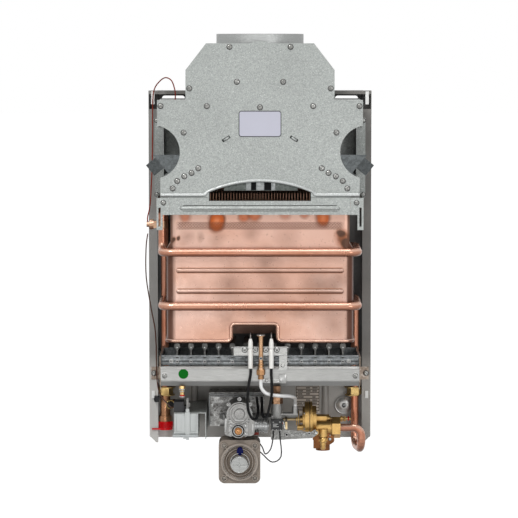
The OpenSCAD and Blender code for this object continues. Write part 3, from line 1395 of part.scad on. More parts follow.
back_panel();
side_stays();
edge_clips();
dish_washer();
hood_body();
hood_plate();
flue_collar();
draft_deflectors();
hood_baffle();
casing_screws();
exchanger_rail();
rail_brackets();
fin_pack();
exchanger_tubes();
chamber_shell();
coil_pipe();
inlet_pipe();
outlet_pipe();
union_nuts();
limit_thermostat();
burner_tray();
burner_blades();
gas_manifold();
injectors();
burner_brackets();
test_nipple();
electrode_bracket();
electrode_ceramics();
electrode_pins();
pilot_burner();
pilot_tube();
spark_leads();
gas_valve_body();
gas_valve_cover();
gas_spindle();
gas_solenoid();
gas_riser();
small_screws();
regulator_body();
regulator_cover();
regulator_cap();
water_valve_body();
diaphragm_cover();
diaphragm();
water_spindle();
push_rod();
drain_plug();
cold_inlet();
link_bracket();
switch_lever();
micro_switch();
switch_button();
hot_outlet();
red_cap();
battery_bracket();
battery_box();
battery_lid();
valve_bracket();
igniter_unit();
wires();
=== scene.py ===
"""A wall-hung gas water heater with its cover off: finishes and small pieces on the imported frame."""

import logging
from dataclasses import dataclass, field
from enum import Enum
from math import asin, cos, pi, radians, sin
from typing import Optional, Sequence

import bmesh
import bpy
from mathutils import Matrix, Vector


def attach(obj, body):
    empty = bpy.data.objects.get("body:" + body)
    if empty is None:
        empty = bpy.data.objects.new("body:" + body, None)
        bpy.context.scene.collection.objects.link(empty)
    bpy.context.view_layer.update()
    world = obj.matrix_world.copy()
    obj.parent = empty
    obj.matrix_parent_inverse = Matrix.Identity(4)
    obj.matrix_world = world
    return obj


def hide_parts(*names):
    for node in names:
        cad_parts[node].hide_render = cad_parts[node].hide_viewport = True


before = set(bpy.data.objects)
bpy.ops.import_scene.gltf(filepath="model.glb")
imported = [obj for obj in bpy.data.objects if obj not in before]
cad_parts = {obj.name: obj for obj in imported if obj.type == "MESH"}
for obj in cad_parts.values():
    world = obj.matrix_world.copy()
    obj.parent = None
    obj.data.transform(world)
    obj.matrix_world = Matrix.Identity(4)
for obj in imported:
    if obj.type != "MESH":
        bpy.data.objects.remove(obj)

LOG = logging.getLogger("heater")
Colour = tuple[float, float, float]
Point = tuple[float, float, float]
Pair = tuple[float, float]
Shape = bmesh.types.BMesh
Socket = bpy.types.NodeSocket
Material = bpy.types.Material
MM = 0.001
WELD = 1e-7
LEFT: Point = (-1.0, 0.0, 0.0)
RIGHT: Point = (1.0, 0.0, 0.0)
FRONT: Point = (0.0, -1.0, 0.0)
DOWN: Point = (0.0, 0.0, -1.0)
UP: Point = (0.0, 0.0, 1.0)


def painter(colour: Colour, share: float) -> Colour:
    """Returns a colour made darker by a share below 1, or lighter by one above it."""
    return tuple(c * share for c in colour)


def placed(name: str, data: bpy.types.ID) -> bpy.types.Object:
    """Puts a mesh, a curve, a lamp or the camera into the scene as an object."""
    obj = bpy.data.objects.new(name, data)
    bpy.context.scene.collection.objects.link(obj)
    return obj


class Metal(Enum):
    """How a sheet or a casting was made, which sets its pattern."""

    SPANGLE = "spangle"
    BRUSHED = "brushed"
    CAST = "cast"
    DRAWN = "drawn"
    DULLED = "dulled"


class Sheet:
    """A small builder for one material's nodes."""

    def __init__(self, name: str) -> None:
        """Makes an empty material with a Principled shader and Object coordinates."""
        self.mat = bpy.data.materials.new(name)
        self.mat.use_nodes = True
        self.tree = self.mat.node_tree
        self.tree.nodes.clear()
        self.out = self.tree.nodes.new("ShaderNodeOutputMaterial")
        self.bsdf = self.tree.nodes.new("ShaderNodeBsdfPrincipled")
        self.tree.links.new(self.bsdf.outputs["BSDF"], self.out.inputs["Surface"])
        self.place = self.tree.nodes.new("ShaderNodeTexCoord").outputs["Object"]

    def node(self, kind: str, **sockets: object) -> bpy.types.Node:
        """Adds a node and fills or links its sockets.

        Args:
            kind: the node type without its ShaderNode prefix.
            sockets: values or sockets by input name, with underscores for spaces.

        Returns:
            The new node.
        """
        made = self.tree.nodes.new("ShaderNode" + kind)
        for key, value in sockets.items():
            self.feed(made.inputs[key.replace("_", " ")], value)
        return made

    def feed(self, socket: Socket, value: object) -> None:
        """Links a socket, or sets its plain value."""
        if isinstance(value, Socket):
            self.tree.links.new(value, socket)
        else:
            socket.default_value = value

    def stretch(self, scale: Point, turn: Point = (0.0, 0.0, 0.0)) -> Socket:
        """Returns the Object coordinates stretched and turned by a Mapping node."""
        made = self.node("Mapping", Vector=self.place, Scale=scale)
        made.inputs["Rotation"].default_value = turn
        return made.outputs["Vector"]

    def noise(self, scale: float, detail: float = 4.0, rough: float = 0.55,
              place: Optional[Socket] = None) -> Socket:
        """Returns a noise factor at a scale in cycles to the metre."""
        return self.node("TexNoise", Vector=place or self.place, Scale=scale, Detail=detail,
                         Roughness=rough).outputs["Fac"]

    def cells(self, scale: float, out: str = "Color", loose: float = 1.0,
              place: Optional[Socket] = None) -> Socket:
        """Returns one output of a Voronoi pattern at a scale in cells to the metre."""
        made = self.node("TexVoronoi", Vector=place or self.place, Scale=scale)
        made.inputs["Randomness"].default_value = loose
        return made.outputs[out]

    def remap(self, value: Socket, low: float, high: float, to_low: float = 0.0,
              to_high: float = 1.0) -> Socket:
        """Returns a value mapped from one range to another, clamped."""
        made = self.node("MapRange", Value=value)
        made.inputs["From Min"].default_value = low
        made.inputs["From Max"].default_value = high
        made.inputs["To Min"].default_value = to_low
        made.inputs["To Max"].default_value = to_high
        return made.outputs["Result"]

    def sum(self, operation: str, a: object, b: object) -> Socket:
        """Returns the result of a Math node."""
        made = self.tree.nodes.new("ShaderNodeMath")
        made.operation = operation
        self.feed(made.inputs[0], a)
        self.feed(made.inputs[1], b)
        return made.outputs[0]

    def blend(self, share: object, a: object, b: object, kind: str = "MIX") -> Socket:
        """Returns a mix of two colours.

        Args:
            share: how much of b shows, as a number or a socket.
            a: the first colour, three numbers or a socket.
            b: the second colour, three numbers or a socket.
            kind: the blend type.

        Returns:
            The colour socket of the mix.
        """
        made = self.tree.nodes.new("ShaderNodeMix")
        made.data_type = "RGBA"
        made.blend_type = kind
        self.feed(made.inputs[0], share)
        for socket, value in ((made.inputs[6], a), (made.inputs[7], b)):
            self.feed(socket, value if isinstance(value, Socket) else (*value, 1.0))
        return made.outputs[2]

    def near(self, centre: Point, radius: float, edge: float = 0.3, wobble: float = 0.0,
             squash: Point = (1.0, 1.0, 1.0)) -> Socket:
        """Returns a soft spot, 1 inside and 0 outside.

        Args:
            centre: the spot's middle in metres.
            radius: the spot's radius in metres.
            edge: the soft edge as a share of the radius.
            wobble: how far noise pulls the edge about, in metres.
            squash: how much each direction counts; below 1 the spot is longer that way.

        Returns:
            The spot's factor.
        """
        place = self.place
        if wobble:
            pull = self.node("TexNoise", Vector=place, Scale=28.0, Detail=3.0).outputs["Color"]
            shift = self.tree.nodes.new("ShaderNodeVectorMath")
            shift.operation = "MULTIPLY_ADD"
            self.feed(shift.inputs[0], pull)
            shift.inputs[1].default_value = (wobble,) * 3
            self.feed(shift.inputs[2], place)
            place = shift.outputs[0]
        place = self.node("Mapping", Vector=place, Scale=squash).outputs["Vector"]
        away = self.tree.nodes.new("ShaderNodeVectorMath")
        away.operation = "DISTANCE"
        self.feed(away.inputs[0], place)
        offset = wobble / 2
        away.inputs[1].default_value = tuple((c + offset) * k for c, k in zip(centre, squash))
        return self.remap(away.outputs["Value"], radius, radius * (1 - edge))

    def lean(self, axis: str) -> Socket:
        """Returns one part of the surface's normal, by the name of its axis."""
        return self.node("SeparateXYZ", Vector=self.node("NewGeometry").outputs["Normal"]).outputs[axis]

    def under(self, share: float) -> Socket:
        """Returns how far a surface faces down, up to a share, for painting shade on undersides."""
        return self.remap(self.lean("Z"), 0.0, -0.75, 0.0, share)

    def painted_highlight(self, share: float) -> Socket:
        """Returns how far a surface faces up and forward, up to a share, for painting a highlight there."""
        up = self.lean("Z")
        rise = self.remap(up, 0.15, 0.5)
        fall = self.remap(up, 0.6, 0.9, share, 0.0)
        return self.sum("MULTIPLY", rise, fall)

    def part(self, axis: str) -> Socket:
        """Returns one Object coordinate, by the name of its axis."""
        return self.node("SeparateXYZ", Vector=self.place).outputs[axis]

    def band(self, axis: str, low: float, high: float, soft: float) -> Socket:
        """Returns 1 between two places along an axis, with soft ends, in metres."""
        at = self.part(axis)
        rise = self.remap(at, low - soft, low + soft)
        fall = self.remap(at, high - soft, high + soft, 1.0, 0.0)
        return self.sum("MULTIPLY", rise, fall)

    def bump(self, height: Socket, strength: float, depth: float,
             under: Optional[Socket] = None) -> Socket:
        """Returns a bumped normal, on top of another one if given."""
        made = self.node("Bump", Height=height, Strength=strength, Distance=depth)
        if under is not None:
            self.tree.links.new(under, made.inputs["Normal"])
        return made.outputs["Normal"]

    def finish(self, colour: object, metallic: float, rough: object,
               normal: Optional[Socket] = None, **plain: float) -> Material:
        """Feeds the shader and returns the material.

        Args:
            colour: the base colour, three numbers or a socket.
            metallic: how metallic the surface is.
            rough: the roughness, a number or a socket.
            normal: the bumped normal.
            plain: plain numbers for other shader sockets, with underscores for spaces.

        Returns:
            The finished material.
        """
        is_socket = isinstance(colour, Socket)
        self.feed(self.bsdf.inputs["Base Color"], colour if is_socket else (*colour, 1.0))
        self.bsdf.inputs["Metallic"].default_value = metallic
        self.feed(self.bsdf.inputs["Roughness"], rough)
        if normal is not None:
            self.tree.links.new(normal, self.bsdf.inputs["Normal"])
        for key, value in plain.items():
            self.bsdf.inputs[key.replace("_", " ")].default_value = value
        return self.mat


@dataclass(frozen=True)
class SheetMetal:
    """Zinc-coated, brushed or heat-dulled sheet.

    Attributes:
        name: the finish's name.
        pale: the colour of its bright grains.
        deep: the colour of its dark grains.
        metal: how it was made.
        grain: grains to the metre.
        metallic: how metallic it is.
        rough: its middle roughness.
        grime: how much dark staining lies on it.
        shade: how much shade is painted on its undersides.
    """

    name: str
    pale: Colour
    deep: Colour
    metal: Metal = Metal.SPANGLE
    grain: float = 680.0
    metallic: float = 0.45
    rough: float = 0.42
    grime: float = 0.25
    shade: float = 0.6

    def build(self) -> Material:
        """Returns the material."""
        s = Sheet(self.name)
        if self.metal is Metal.BRUSHED:
            lines = s.noise(60.0, 6.0, 0.7, s.stretch((1.0, 12.0, 22.0)))
            grains = s.remap(lines, 0.3, 0.7)
        elif self.metal is Metal.CAST:
            grains = s.remap(s.noise(self.grain, 5.0, 0.65), 0.3, 0.7)
        else:
            grey = s.node("RGBToBW", Color=s.cells(self.grain)).outputs["Val"]
            fine = s.noise(self.grain * 1.9, 2.0)
            both = s.sum("ADD", s.sum("MULTIPLY", grey, 0.5), s.sum("MULTIPLY", fine, 0.6))
            grains = s.remap(both, 0.34, 0.80)
        colour = s.blend(grains, self.deep, self.pale)
        if self.metal is Metal.SPANGLE:
            pick = s.node("RGBToBW", Color=s.cells(self.grain * 1.37)).outputs["Val"]
            colour = s.blend(s.remap(pick, 0.76, 0.90, 0.0, 0.42), colour, (0.74, 0.76, 0.75))
            pits = s.remap(s.noise(self.grain * 1.5, 3.0, 0.7), 0.58, 0.70, 0.0, 0.6)
            colour = s.blend(pits, colour, painter(self.deep, 0.5))
        broad = s.remap(s.noise(9.0, 5.0, 0.6), 0.42, 0.68)
        colour = s.blend(s.sum("MULTIPLY", broad, self.grime), colour, painter(self.deep, 0.62))
        scuffs = s.remap(s.noise(35.0, 8.0, 0.75, s.stretch((1.0, 1.0, 3.0))), 0.60, 0.72)
        colour = s.blend(s.sum("MULTIPLY", scuffs, 0.22), colour, self.pale)
        # Painted shade: undersides are darkened towards a dark copy of the deep grains.
        colour = s.blend(s.under(self.shade), colour, painter(self.deep, 0.4))
        rough = s.remap(grains, 0.0, 1.0, self.rough + 0.1, self.rough - 0.1)
        wide = s.bump(s.noise(16.0, 2.0), 0.25, 0.0012)
        normal = s.bump(grains, 0.05 if self.metal is Metal.BRUSHED else 0.22, 0.00035, wide)
        return s.finish(colour, self.metallic, rough, normal)


@dataclass(frozen=True)
class Copper:
    """Copper sheet or tube, with heat tints.

    Attributes:
        name: the finish's name.
        base: its clean colour.
        pink: its paler, pinker colour.
        smoke: the colour of its stains, also used for the shade painted on its undersides.
        stain: how much of it is stained.
        metallic: how metallic it is.
        rough: its middle roughness.
    """

    name: str
    base: Colour
    pink: Colour
    smoke: Colour
    stain: float = 0.5
    metallic: float = 0.75
    rough: float = 0.3

    def build(self) -> Material:
        """Returns the material."""
        s = Sheet(self.name)
        drift = s.remap(s.noise(14.0, 5.0, 0.6), 0.35, 0.65)
        colour = s.blend(drift, self.base, self.pink)
        smoke = s.remap(s.noise(22.0, 7.0, 0.68, s.stretch((1.0, 1.0, 0.6))), 0.54, 0.74)
        colour = s.blend(s.sum("MULTIPLY", smoke, self.stain), colour, self.smoke)
        fine = s.noise(260.0, 4.0, 0.6)
        colour = s.blend(s.remap(fine, 0.45, 0.75, 0.0, 0.18), colour, self.smoke)
        # Painted highlight on faces tilted up, then painted shade on undersides in the stain colour.
        colour = s.blend(s.painted_highlight(0.6), colour, (0.84, 0.57, 0.44))
        colour = s.blend(s.under(0.9), colour, self.smoke)
        rough = s.remap(smoke, 0.0, 1.0, self.rough, self.rough + 0.22)
        normal = s.bump(fine, 0.12, 0.0002, s.bump(s.noise(30.0, 3.0), 0.3, 0.0008))
        return s.finish(colour, self.metallic, rough, normal)


@dataclass(frozen=True)
class Brass:
    """Turned or forged brass.

    Attributes:
        name: the finish's name.
        gold: its bright colour.
        brown: the colour of its tarnish, also used for the shade painted on its undersides.
        cast: whether its skin is sand-blasted rather than turned.
        tarnish: how much of it is tarnished.
    """

    name: str
    gold: Colour
    brown: Colour
    cast: bool = True
    tarnish: float = 0.4

    def build(self) -> Material:
        """Returns the material."""
        s = Sheet(self.name)
        patch = s.remap(s.noise(70.0, 6.0, 0.65), 0.42, 0.72)
        colour = s.blend(s.sum("MULTIPLY", patch, self.tarnish), self.gold, self.brown)
        grain = s.noise(1500.0 if self.cast else 500.0, 3.0, 0.6)
        colour = s.blend(s.remap(grain, 0.4, 0.7, 0.0, 0.25), colour, self.brown)
        # Painted shade: undersides are darkened towards the tarnish colour.
        colour = s.blend(s.under(0.6), colour, self.brown)
        rough = s.remap(patch, 0.0, 1.0, 0.34 if self.cast else 0.22, 0.5)
        normal = s.bump(grain, 0.35 if self.cast else 0.12, 0.0003)
        return s.finish(colour, 0.82, rough, normal)


@dataclass(frozen=True)
class Moulded:
    """Paint, plastic, rubber or glazed ceramic.

    Attributes:
        name: the finish's name.
        colour: its colour.
        worn: the colour of its scuffs and dust.
        rough: its middle roughness.
        peel: the strength of its orange peel.
        coat: how much clear gloss lies on it.
        wear: how much of it is scuffed.
        gloss: how strongly it mirrors.
    """

    name: str
    colour: Colour
    worn: Colour
    rough: float = 0.42
    peel: float = 0.12
    coat: float = 0.0
    wear: float = 0.3
    gloss: float = 0.3

    def build(self) -> Material:
        """Returns the material."""
        s = Sheet(self.name)
        broad = s.remap(s.noise(12.0, 5.0, 0.6), 0.4, 0.7)
        colour = s.blend(s.sum("MULTIPLY", broad, self.wear), self.colour, self.worn)
        specks = s.remap(s.noise(520.0, 3.0, 0.7), 0.62, 0.74)
        colour = s.blend(s.sum("MULTIPLY", specks, self.wear * 0.6), colour, self.worn)
        rough = s.remap(broad, 0.0, 1.0, self.rough - 0.06, self.rough + 0.1)
        normal = s.bump(s.noise(900.0, 2.0), self.peel, 0.0002,
                        s.bump(s.noise(20.0, 2.0), 0.12, 0.001))
        return s.finish(colour, 0.0, rough, normal, Coat_Weight=self.coat,
                        Coat_Roughness=0.12, Specular_IOR_Level=self.gloss)


@dataclass(frozen=True)
class PanelPaint:
    """The wall panel's grey paint, with painted shade in the recess behind the burner's chamber.

    Attributes:
        name: the finish's name.
        grey: the clean paint.
        dust: the paint under dust and scuffs.
        painted_shade: the colour of the shade painted in the recess.
        step: how far forward the recess reaches.
        low: the lowest place of the painted shade.
    """

    name: str = "panel_paint"
    grey: Colour = (0.34, 0.322, 0.296)
    dust: Colour = (0.43, 0.412, 0.385)
    painted_shade: Colour = (0.014, 0.013, 0.012)
    step: float = -0.034
    low: float = -0.40

    def build(self) -> Material:
        """Returns the material."""
        s = Sheet(self.name)
        broad = s.remap(s.noise(8.0, 5.0, 0.6), 0.4, 0.7, 0.0, 0.5)
        colour = s.blend(broad, self.grey, self.dust)
        specks = s.remap(s.noise(520.0, 3.0, 0.7), 0.60, 0.72, 0.0, 0.3)
        colour = s.blend(specks, colour, painter(self.grey, 0.5))
        # Painted light: the left flange's edge is painted paler, as if more light fell on it.
        colour = s.blend(s.remap(s.part("X"), -0.137, -0.142, 0.0, 0.75), colour, (0.60, 0.59, 0.565))
        # Painted shade: the inside faces of the recess behind the chamber are darkened, broken up by noise.
        behind = s.remap(s.part("Y"), self.step - 0.004, self.step + 0.006)
        above = s.remap(s.part("Z"), self.low - 0.012, self.low + 0.02)
        shade_noise = s.remap(s.noise(14.0, 4.0), 0.3, 0.6, 0.8, 1.0)
        outward = s.sum("MULTIPLY", s.part("X"), s.lean("X"))
        inside = s.sum("MULTIPLY", s.remap(s.lean("Y"), 0.2, 0.5, 1.0, 0.0),
                       s.remap(outward, 0.02, 0.06, 1.0, 0.0))
        shade_mask = s.sum("MULTIPLY", s.sum("MULTIPLY", behind, above), s.sum("MULTIPLY", shade_noise, inside))
        colour = s.blend(shade_mask, colour, self.painted_shade)
        normal = s.bump(s.noise(900.0, 2.0), 0.1, 0.0002, s.bump(s.noise(20.0, 2.0), 0.12, 0.001))
        return s.finish(colour, 0.0, s.remap(broad, 0.0, 0.5, 0.36, 0.5), normal)


@dataclass(frozen=True)
class ShellCopper:
    """The heat-stained copper of the chamber's shell, with its knurled band.

    Attributes:
        name: the finish's name.
        pink: the clean annealed colour.
        warm: its redder colour.
        smoke: the colour of the smoky stains.
        heat: the orange of the hottest spots.
        burnt: the colour of the burnt marks.
        band: the knurled band's half length, lower edge and upper edge.
        front: where the front face lies.
        stains: the smoky stains as X, Z, radius and strength.
        spots: the hot spots as X, Z, radius and strength.
        marks: the burnt marks as X, Z and radius.
    """

    name: str = "shell_copper"
    pink: Colour = (0.61, 0.395, 0.32)
    warm: Colour = (0.51, 0.285, 0.205)
    smoke: Colour = (0.15, 0.075, 0.05)
    heat: Colour = (0.44, 0.085, 0.010)
    burnt: Colour = (0.042, 0.021, 0.013)
    band: tuple[float, float, float] = (0.119, -0.1848, -0.1738)
    front: float = -0.148
    stains: tuple[tuple[float, float, float, float], ...] = (
        (-0.045, -0.232, 0.020, 0.3), (0.085, -0.267, 0.034, 0.75), (-0.042, -0.268, 0.036, 0.7),
        (0.007, -0.233, 0.030, 0.75), (0.105, -0.318, 0.034, 0.6), (-0.048, -0.316, 0.020, 0.5),
        (0.111, -0.270, 0.024, 0.6), (-0.012, -0.189, 0.017, 0.6), (0.04, -0.196, 0.022, 0.45),
        (0.02, -0.282, 0.045, 0.4), (-0.110, -0.195, 0.012, 0.45), (0.118, -0.256, 0.018, 0.5),
        (-0.089, -0.193, 0.009, 0.6), (-0.062, -0.199, 0.016, 0.5), (-0.092, -0.272, 0.020, 0.35),
        (0.024, -0.262, 0.020, 0.5), (0.062, -0.306, 0.022, 0.35), (-0.008, -0.300, 0.022, 0.35))
    spots: tuple[tuple[float, float, float, float], ...] = (
        (-0.0625, -0.173, 0.0112, 1.0), (-0.108, -0.165, 0.008, 0.45), (-0.022, -0.162, 0.0095, 0.6),
        (-0.007, -0.162, 0.009, 0.6), (0.0905, -0.168, 0.0098, 0.8), (0.034, -0.160, 0.008, 0.3),
        (0.064, -0.161, 0.006, 0.4))
    marks: tuple[tuple[float, float, float], ...] = (
        (0.1215, -0.199, 0.0105), (0.117, -0.192, 0.007), (0.127, -0.210, 0.008),
        (0.1235, -0.205, 0.009), (-0.1265, -0.199, 0.0046), (-0.119, -0.197, 0.0028))

    def build(self) -> Material:
        """Returns the material."""
        s = Sheet(self.name)
        drift = s.remap(s.noise(6.0, 4.0, 0.5, s.stretch((1.0, 1.0, 1.8))), 0.36, 0.62)
        colour = s.blend(drift, self.warm, self.pink)
        shine = s.remap(s.noise(11.0, 5.0, 0.6), 0.52, 0.68, 0.0, 0.5)
        colour = s.blend(shine, colour, (0.63, 0.462, 0.392))
        for x, z, radius, share in self.stains:
            spot = s.near((x, self.front, z), radius, 0.97, 0.026)
            colour = s.blend(s.sum("MULTIPLY", spot, 0.82 * share), colour, self.smoke)
        for x, z, radius, share in self.spots:
            tall = (1.0, 1.0, 0.8)
            ring = s.near((x, self.front, z), radius * 1.42, 0.3, 0.016, tall)
            colour = s.blend(s.sum("MULTIPLY", ring, 0.95 * share), colour, (0.17, 0.042, 0.010))
            core = s.near((x, self.front, z), radius * 1.02, 0.3, 0.013, tall)
            colour = s.blend(s.sum("MULTIPLY", core, share), colour, self.heat)
            pale = s.near((x, self.front, z), radius * 0.6, 0.7, 0.008, tall)
            colour = s.blend(s.sum("MULTIPLY", pale, 0.6 * share), colour, (0.62, 0.22, 0.09))
        for x, z, radius in self.marks:
            halo = s.near((x, self.front, z), radius * 1.5, 0.5, 0.012)
            colour = s.blend(s.sum("MULTIPLY", halo, 0.6), colour, (0.28, 0.091, 0.035))
            mark = s.near((x, self.front, z), radius, 0.35, 0.014)
            colour = s.blend(s.sum("MULTIPLY", mark, 0.85), colour, self.burnt)
        # Painted shade: the shell's inside faces, behind its front face, are darkened.
        inside = s.remap(s.part("Y"), -0.1468, -0.1474, 1.0, 0.0)
        painted_shade = s.remap(s.noise(26.0, 5.0), 0.35, 0.6, 0.62, 0.92)
        colour = s.blend(s.sum("MULTIPLY", inside, painted_shade), colour, (0.119, 0.059, 0.038))
        half, low, high = self.band
        # Painted shade: dark lines along both edges of each pressed rib.
        for rib in (-0.2444, -0.2745):
            for edge in (0.0038, -0.0036):
                crease_shade = s.band("Z", rib + edge - 0.0005, rib + edge + 0.0005, 0.0006)
                crease_shade = s.sum("MULTIPLY", crease_shade, s.band("X", -0.1195, 0.1195, 0.001))
                colour = s.blend(s.sum("MULTIPLY", crease_shade, 0.8), colour, (0.27, 0.095, 0.035))
        # Painted shade: the rounded side corners are darkened, more so in the lower part.
        across = s.sum("ABSOLUTE", s.part("X"), 0.0)
        below = s.remap(s.part("Z"), -0.2, -0.214, 0.0, 0.9)
        corner_shade = s.remap(across, 0.1215, 0.131, 0.0, 1.0)
        colour = s.blend(s.sum("MULTIPLY", corner_shade, below), colour, (0.085, 0.028, 0.014))
        colour = s.blend(s.remap(across, 0.124, 0.1345, 0.0, 0.55), colour, (0.13, 0.05, 0.03))
        # Painted highlight on faces tilted up, then painted shade on undersides.
        colour = s.blend(s.painted_highlight(0.5), colour, (0.86, 0.62, 0.52))
        colour = s.blend(s.under(0.9), colour, (0.10, 0.036, 0.018))
        band = s.sum("MULTIPLY", s.band("Z", low, high, 0.0003), s.band("X", -half, half, 0.003))
        knurl = s.cells(330.0, "Distance", 0.0, s.stretch((1.0, 0.001, 1.0), (0.0, 0.785, 0.0)))
        pits = s.sum("MULTIPLY", band, s.remap(knurl, 0.34, 0.46, 1.0, 0.0))
        colour = s.blend(s.sum("MULTIPLY", pits, 0.95), colour, (0.07, 0.022, 0.009))
        fine = s.noise(300.0, 4.0, 0.6)
        rough = s.remap(fine, 0.3, 0.7, 0.26, 0.40)
        dents = s.bump(s.noise(9.0, 3.0, 0.5), 0.5, 0.006)
        normal = s.bump(pits, 0.5, 0.0006, s.bump(fine, 0.08, 0.0002, dents))
        return s.finish(colour, 0.42, rough, normal, Specular_IOR_Level=0.3)


@dataclass(frozen=True)
class Palette:
    """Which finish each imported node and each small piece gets.

    Attributes:
        zinc: the pale grains of galvanised sheet.
        brass: the gold of the fittings.
    """

    zinc: Colour = (0.385, 0.406, 0.39)
    brass: Colour = (0.56, 0.36, 0.125)

    def sheets(self) -> dict[str, SheetMetal]:
        """Returns the finishes of sheet and cast metal, by node."""
        zinc, deep = self.zinc, painter(self.zinc, 0.70)
        dull = (0.118, 0.131, 0.134)
        return {
            "hood_plate": SheetMetal("plate_zinc", zinc, deep, grime=0.16),
            "hood_body": SheetMetal("hood_zinc", painter(zinc, 0.95), painter(deep, 0.93), grime=0.3),
            "side_stays": SheetMetal("stay_zinc", painter(zinc, 0.86), painter(deep, 0.86)),
            "flue_collar": SheetMetal("collar_zinc", (0.50, 0.51, 0.50), (0.30, 0.31, 0.305),
                                      Metal.BRUSHED, grain=60.0, metallic=0.5, rough=0.5, grime=0.1),
            "exchanger_rail": SheetMetal("rail_zinc", zinc, deep, grime=0.12),
            "rail_brackets": SheetMetal("bracket_zinc", zinc, deep, grime=0.12),
            "battery_bracket": SheetMetal("battery_zinc", zinc, deep),
            "link_bracket": SheetMetal("link_zinc", (0.25, 0.25, 0.24), (0.17, 0.168, 0.16), Metal.DULLED,
                                       grain=500.0, metallic=0.6, rough=0.34, grime=0.4),
            "valve_bracket": SheetMetal("valve_zinc", (0.60, 0.60, 0.58), (0.17, 0.16, 0.15), grain=260.0,
                                        grime=0.5),
            "draft_deflectors": SheetMetal("deflector_dull", dull, painter(dull, 0.55), Metal.DULLED,
                                           grain=300.0, metallic=0.5, rough=0.5, grime=0.6),
            "hood_baffle": SheetMetal("baffle_dull", (0.364, 0.378, 0.378), (0.21, 0.224, 0.224),
                                      Metal.DULLED, grain=240.0, metallic=0.5, rough=0.46, grime=0.6),
            "burner_tray": SheetMetal("tray_dull", (0.294, 0.308, 0.315), (0.14, 0.15, 0.154),
                                      Metal.DULLED, grain=260.0, metallic=0.6, rough=0.38, grime=0.5),
            "burner_blades": SheetMetal("blade_steel", (0.11, 0.108, 0.10), (0.04, 0.04, 0.038),
                                        Metal.DULLED, grain=350.0, metallic=0.6, rough=0.4, grime=0.4),
            "burner_brackets": SheetMetal("ear_brown", (0.42, 0.364, 0.315), (0.21, 0.154, 0.112),
                                          Metal.DULLED, grain=200.0, metallic=0.55, grime=0.6),
            "gas_manifold": SheetMetal("manifold_alu", (0.35, 0.35, 0.338), (0.26, 0.26, 0.25),
                                       Metal.BRUSHED, grain=60.0, metallic=0.6, rough=0.36, grime=0.12),
            "electrode_bracket": SheetMetal("plate_bright", (0.34, 0.34, 0.328), (0.25, 0.25, 0.24),
                                            Metal.BRUSHED, grain=80.0, metallic=0.7, rough=0.30),
            "electrode_pins": SheetMetal("pin_dull", (0.35, 0.336, 0.322), (0.182, 0.168, 0.161),
                                         Metal.DULLED, grain=600.0, metallic=0.7, rough=0.4, grime=0.4),
            "pilot_tube": SheetMetal("pilot_alu", (0.86, 0.86, 0.85), (0.78, 0.78, 0.77), Metal.BRUSHED,
                                     grain=60.0, metallic=0.12, rough=0.34, grime=0.04, shade=0.45),
            "gas_valve_body": SheetMetal("valve_cast", (0.46, 0.455, 0.44), (0.16, 0.158, 0.15),
                                         Metal.CAST, grain=1300.0, metallic=0.6, grime=0.4),
            "gas_valve_cover": SheetMetal("cover_cast", (0.58, 0.575, 0.56), (0.27, 0.265, 0.255),
                                          Metal.CAST, grain=1300.0, metallic=0.6, rough=0.38, grime=0.3),
            "gas_solenoid": SheetMetal("solenoid_zinc", (0.434, 0.441, 0.441), (0.28, 0.287, 0.287),
                                       Metal.BRUSHED, grain=80.0, metallic=0.75, rough=0.3),
            "regulator_cap": SheetMetal("cap_alu", (0.36, 0.365, 0.355), (0.29, 0.295, 0.285),
                                        Metal.BRUSHED, grain=90.0, metallic=0.4, rough=0.4, grime=0.15),
            "casing_screws": SheetMetal("screw_zinc", (0.31, 0.31, 0.298), (0.17, 0.17, 0.16),
                                        Metal.DULLED, grain=500.0, metallic=0.8, rough=0.28, grime=0.3),
            "small_screws": SheetMetal("small_screw_zinc", (0.49, 0.49, 0.476), (0.28, 0.28, 0.266),
                                       Metal.DULLED, grain=700.0, metallic=0.8, rough=0.26, grime=0.3),
            "dish_washer": SheetMetal("washer_bright", (0.44, 0.435, 0.42), (0.34, 0.335, 0.32),
                                      Metal.BRUSHED, grain=90.0, metallic=0.5, grime=0.1),
            "switch_lever": SheetMetal("leaf_steel", (0.546, 0.553, 0.546), (0.392, 0.399, 0.392),
                                       Metal.BRUSHED, grain=120.0, metallic=0.85, rough=0.2, grime=0.1),
        }

    def coppers(self) -> dict[str, object]:
        """Returns the finishes of copper pieces, by node."""
        clean, pink, smoke = (0.44, 0.165, 0.09), (0.52, 0.25, 0.165), (0.10, 0.034, 0.016)
        return {
            "chamber_shell": ShellCopper(),
            "coil_pipe": Copper("coil_copper", clean, pink, smoke, stain=0.35, metallic=0.6, rough=0.24),
            "inlet_pipe": Copper("inlet_copper", clean, pink, smoke, stain=0.25, metallic=0.6, rough=0.24),
            "outlet_pipe": Copper("outlet_copper", painter(clean, 0.9), painter(pink, 0.9), smoke,
                                  stain=0.45, metallic=0.6, rough=0.28),
            "fin_pack": Copper("fin_copper", (0.252, 0.133, 0.084), (0.322, 0.182, 0.119),
                               (0.084, 0.049, 0.035), stain=0.6, metallic=0.6, rough=0.45),
            "exchanger_tubes": Copper("tube_copper", painter(clean, 0.85), clean, smoke, metallic=0.8,
                                      rough=0.32),
            "limit_thermostat": Copper("thermostat_bronze", (0.35, 0.196, 0.119), (0.42, 0.266, 0.175),
                                       smoke, metallic=0.8, rough=0.32),
        }

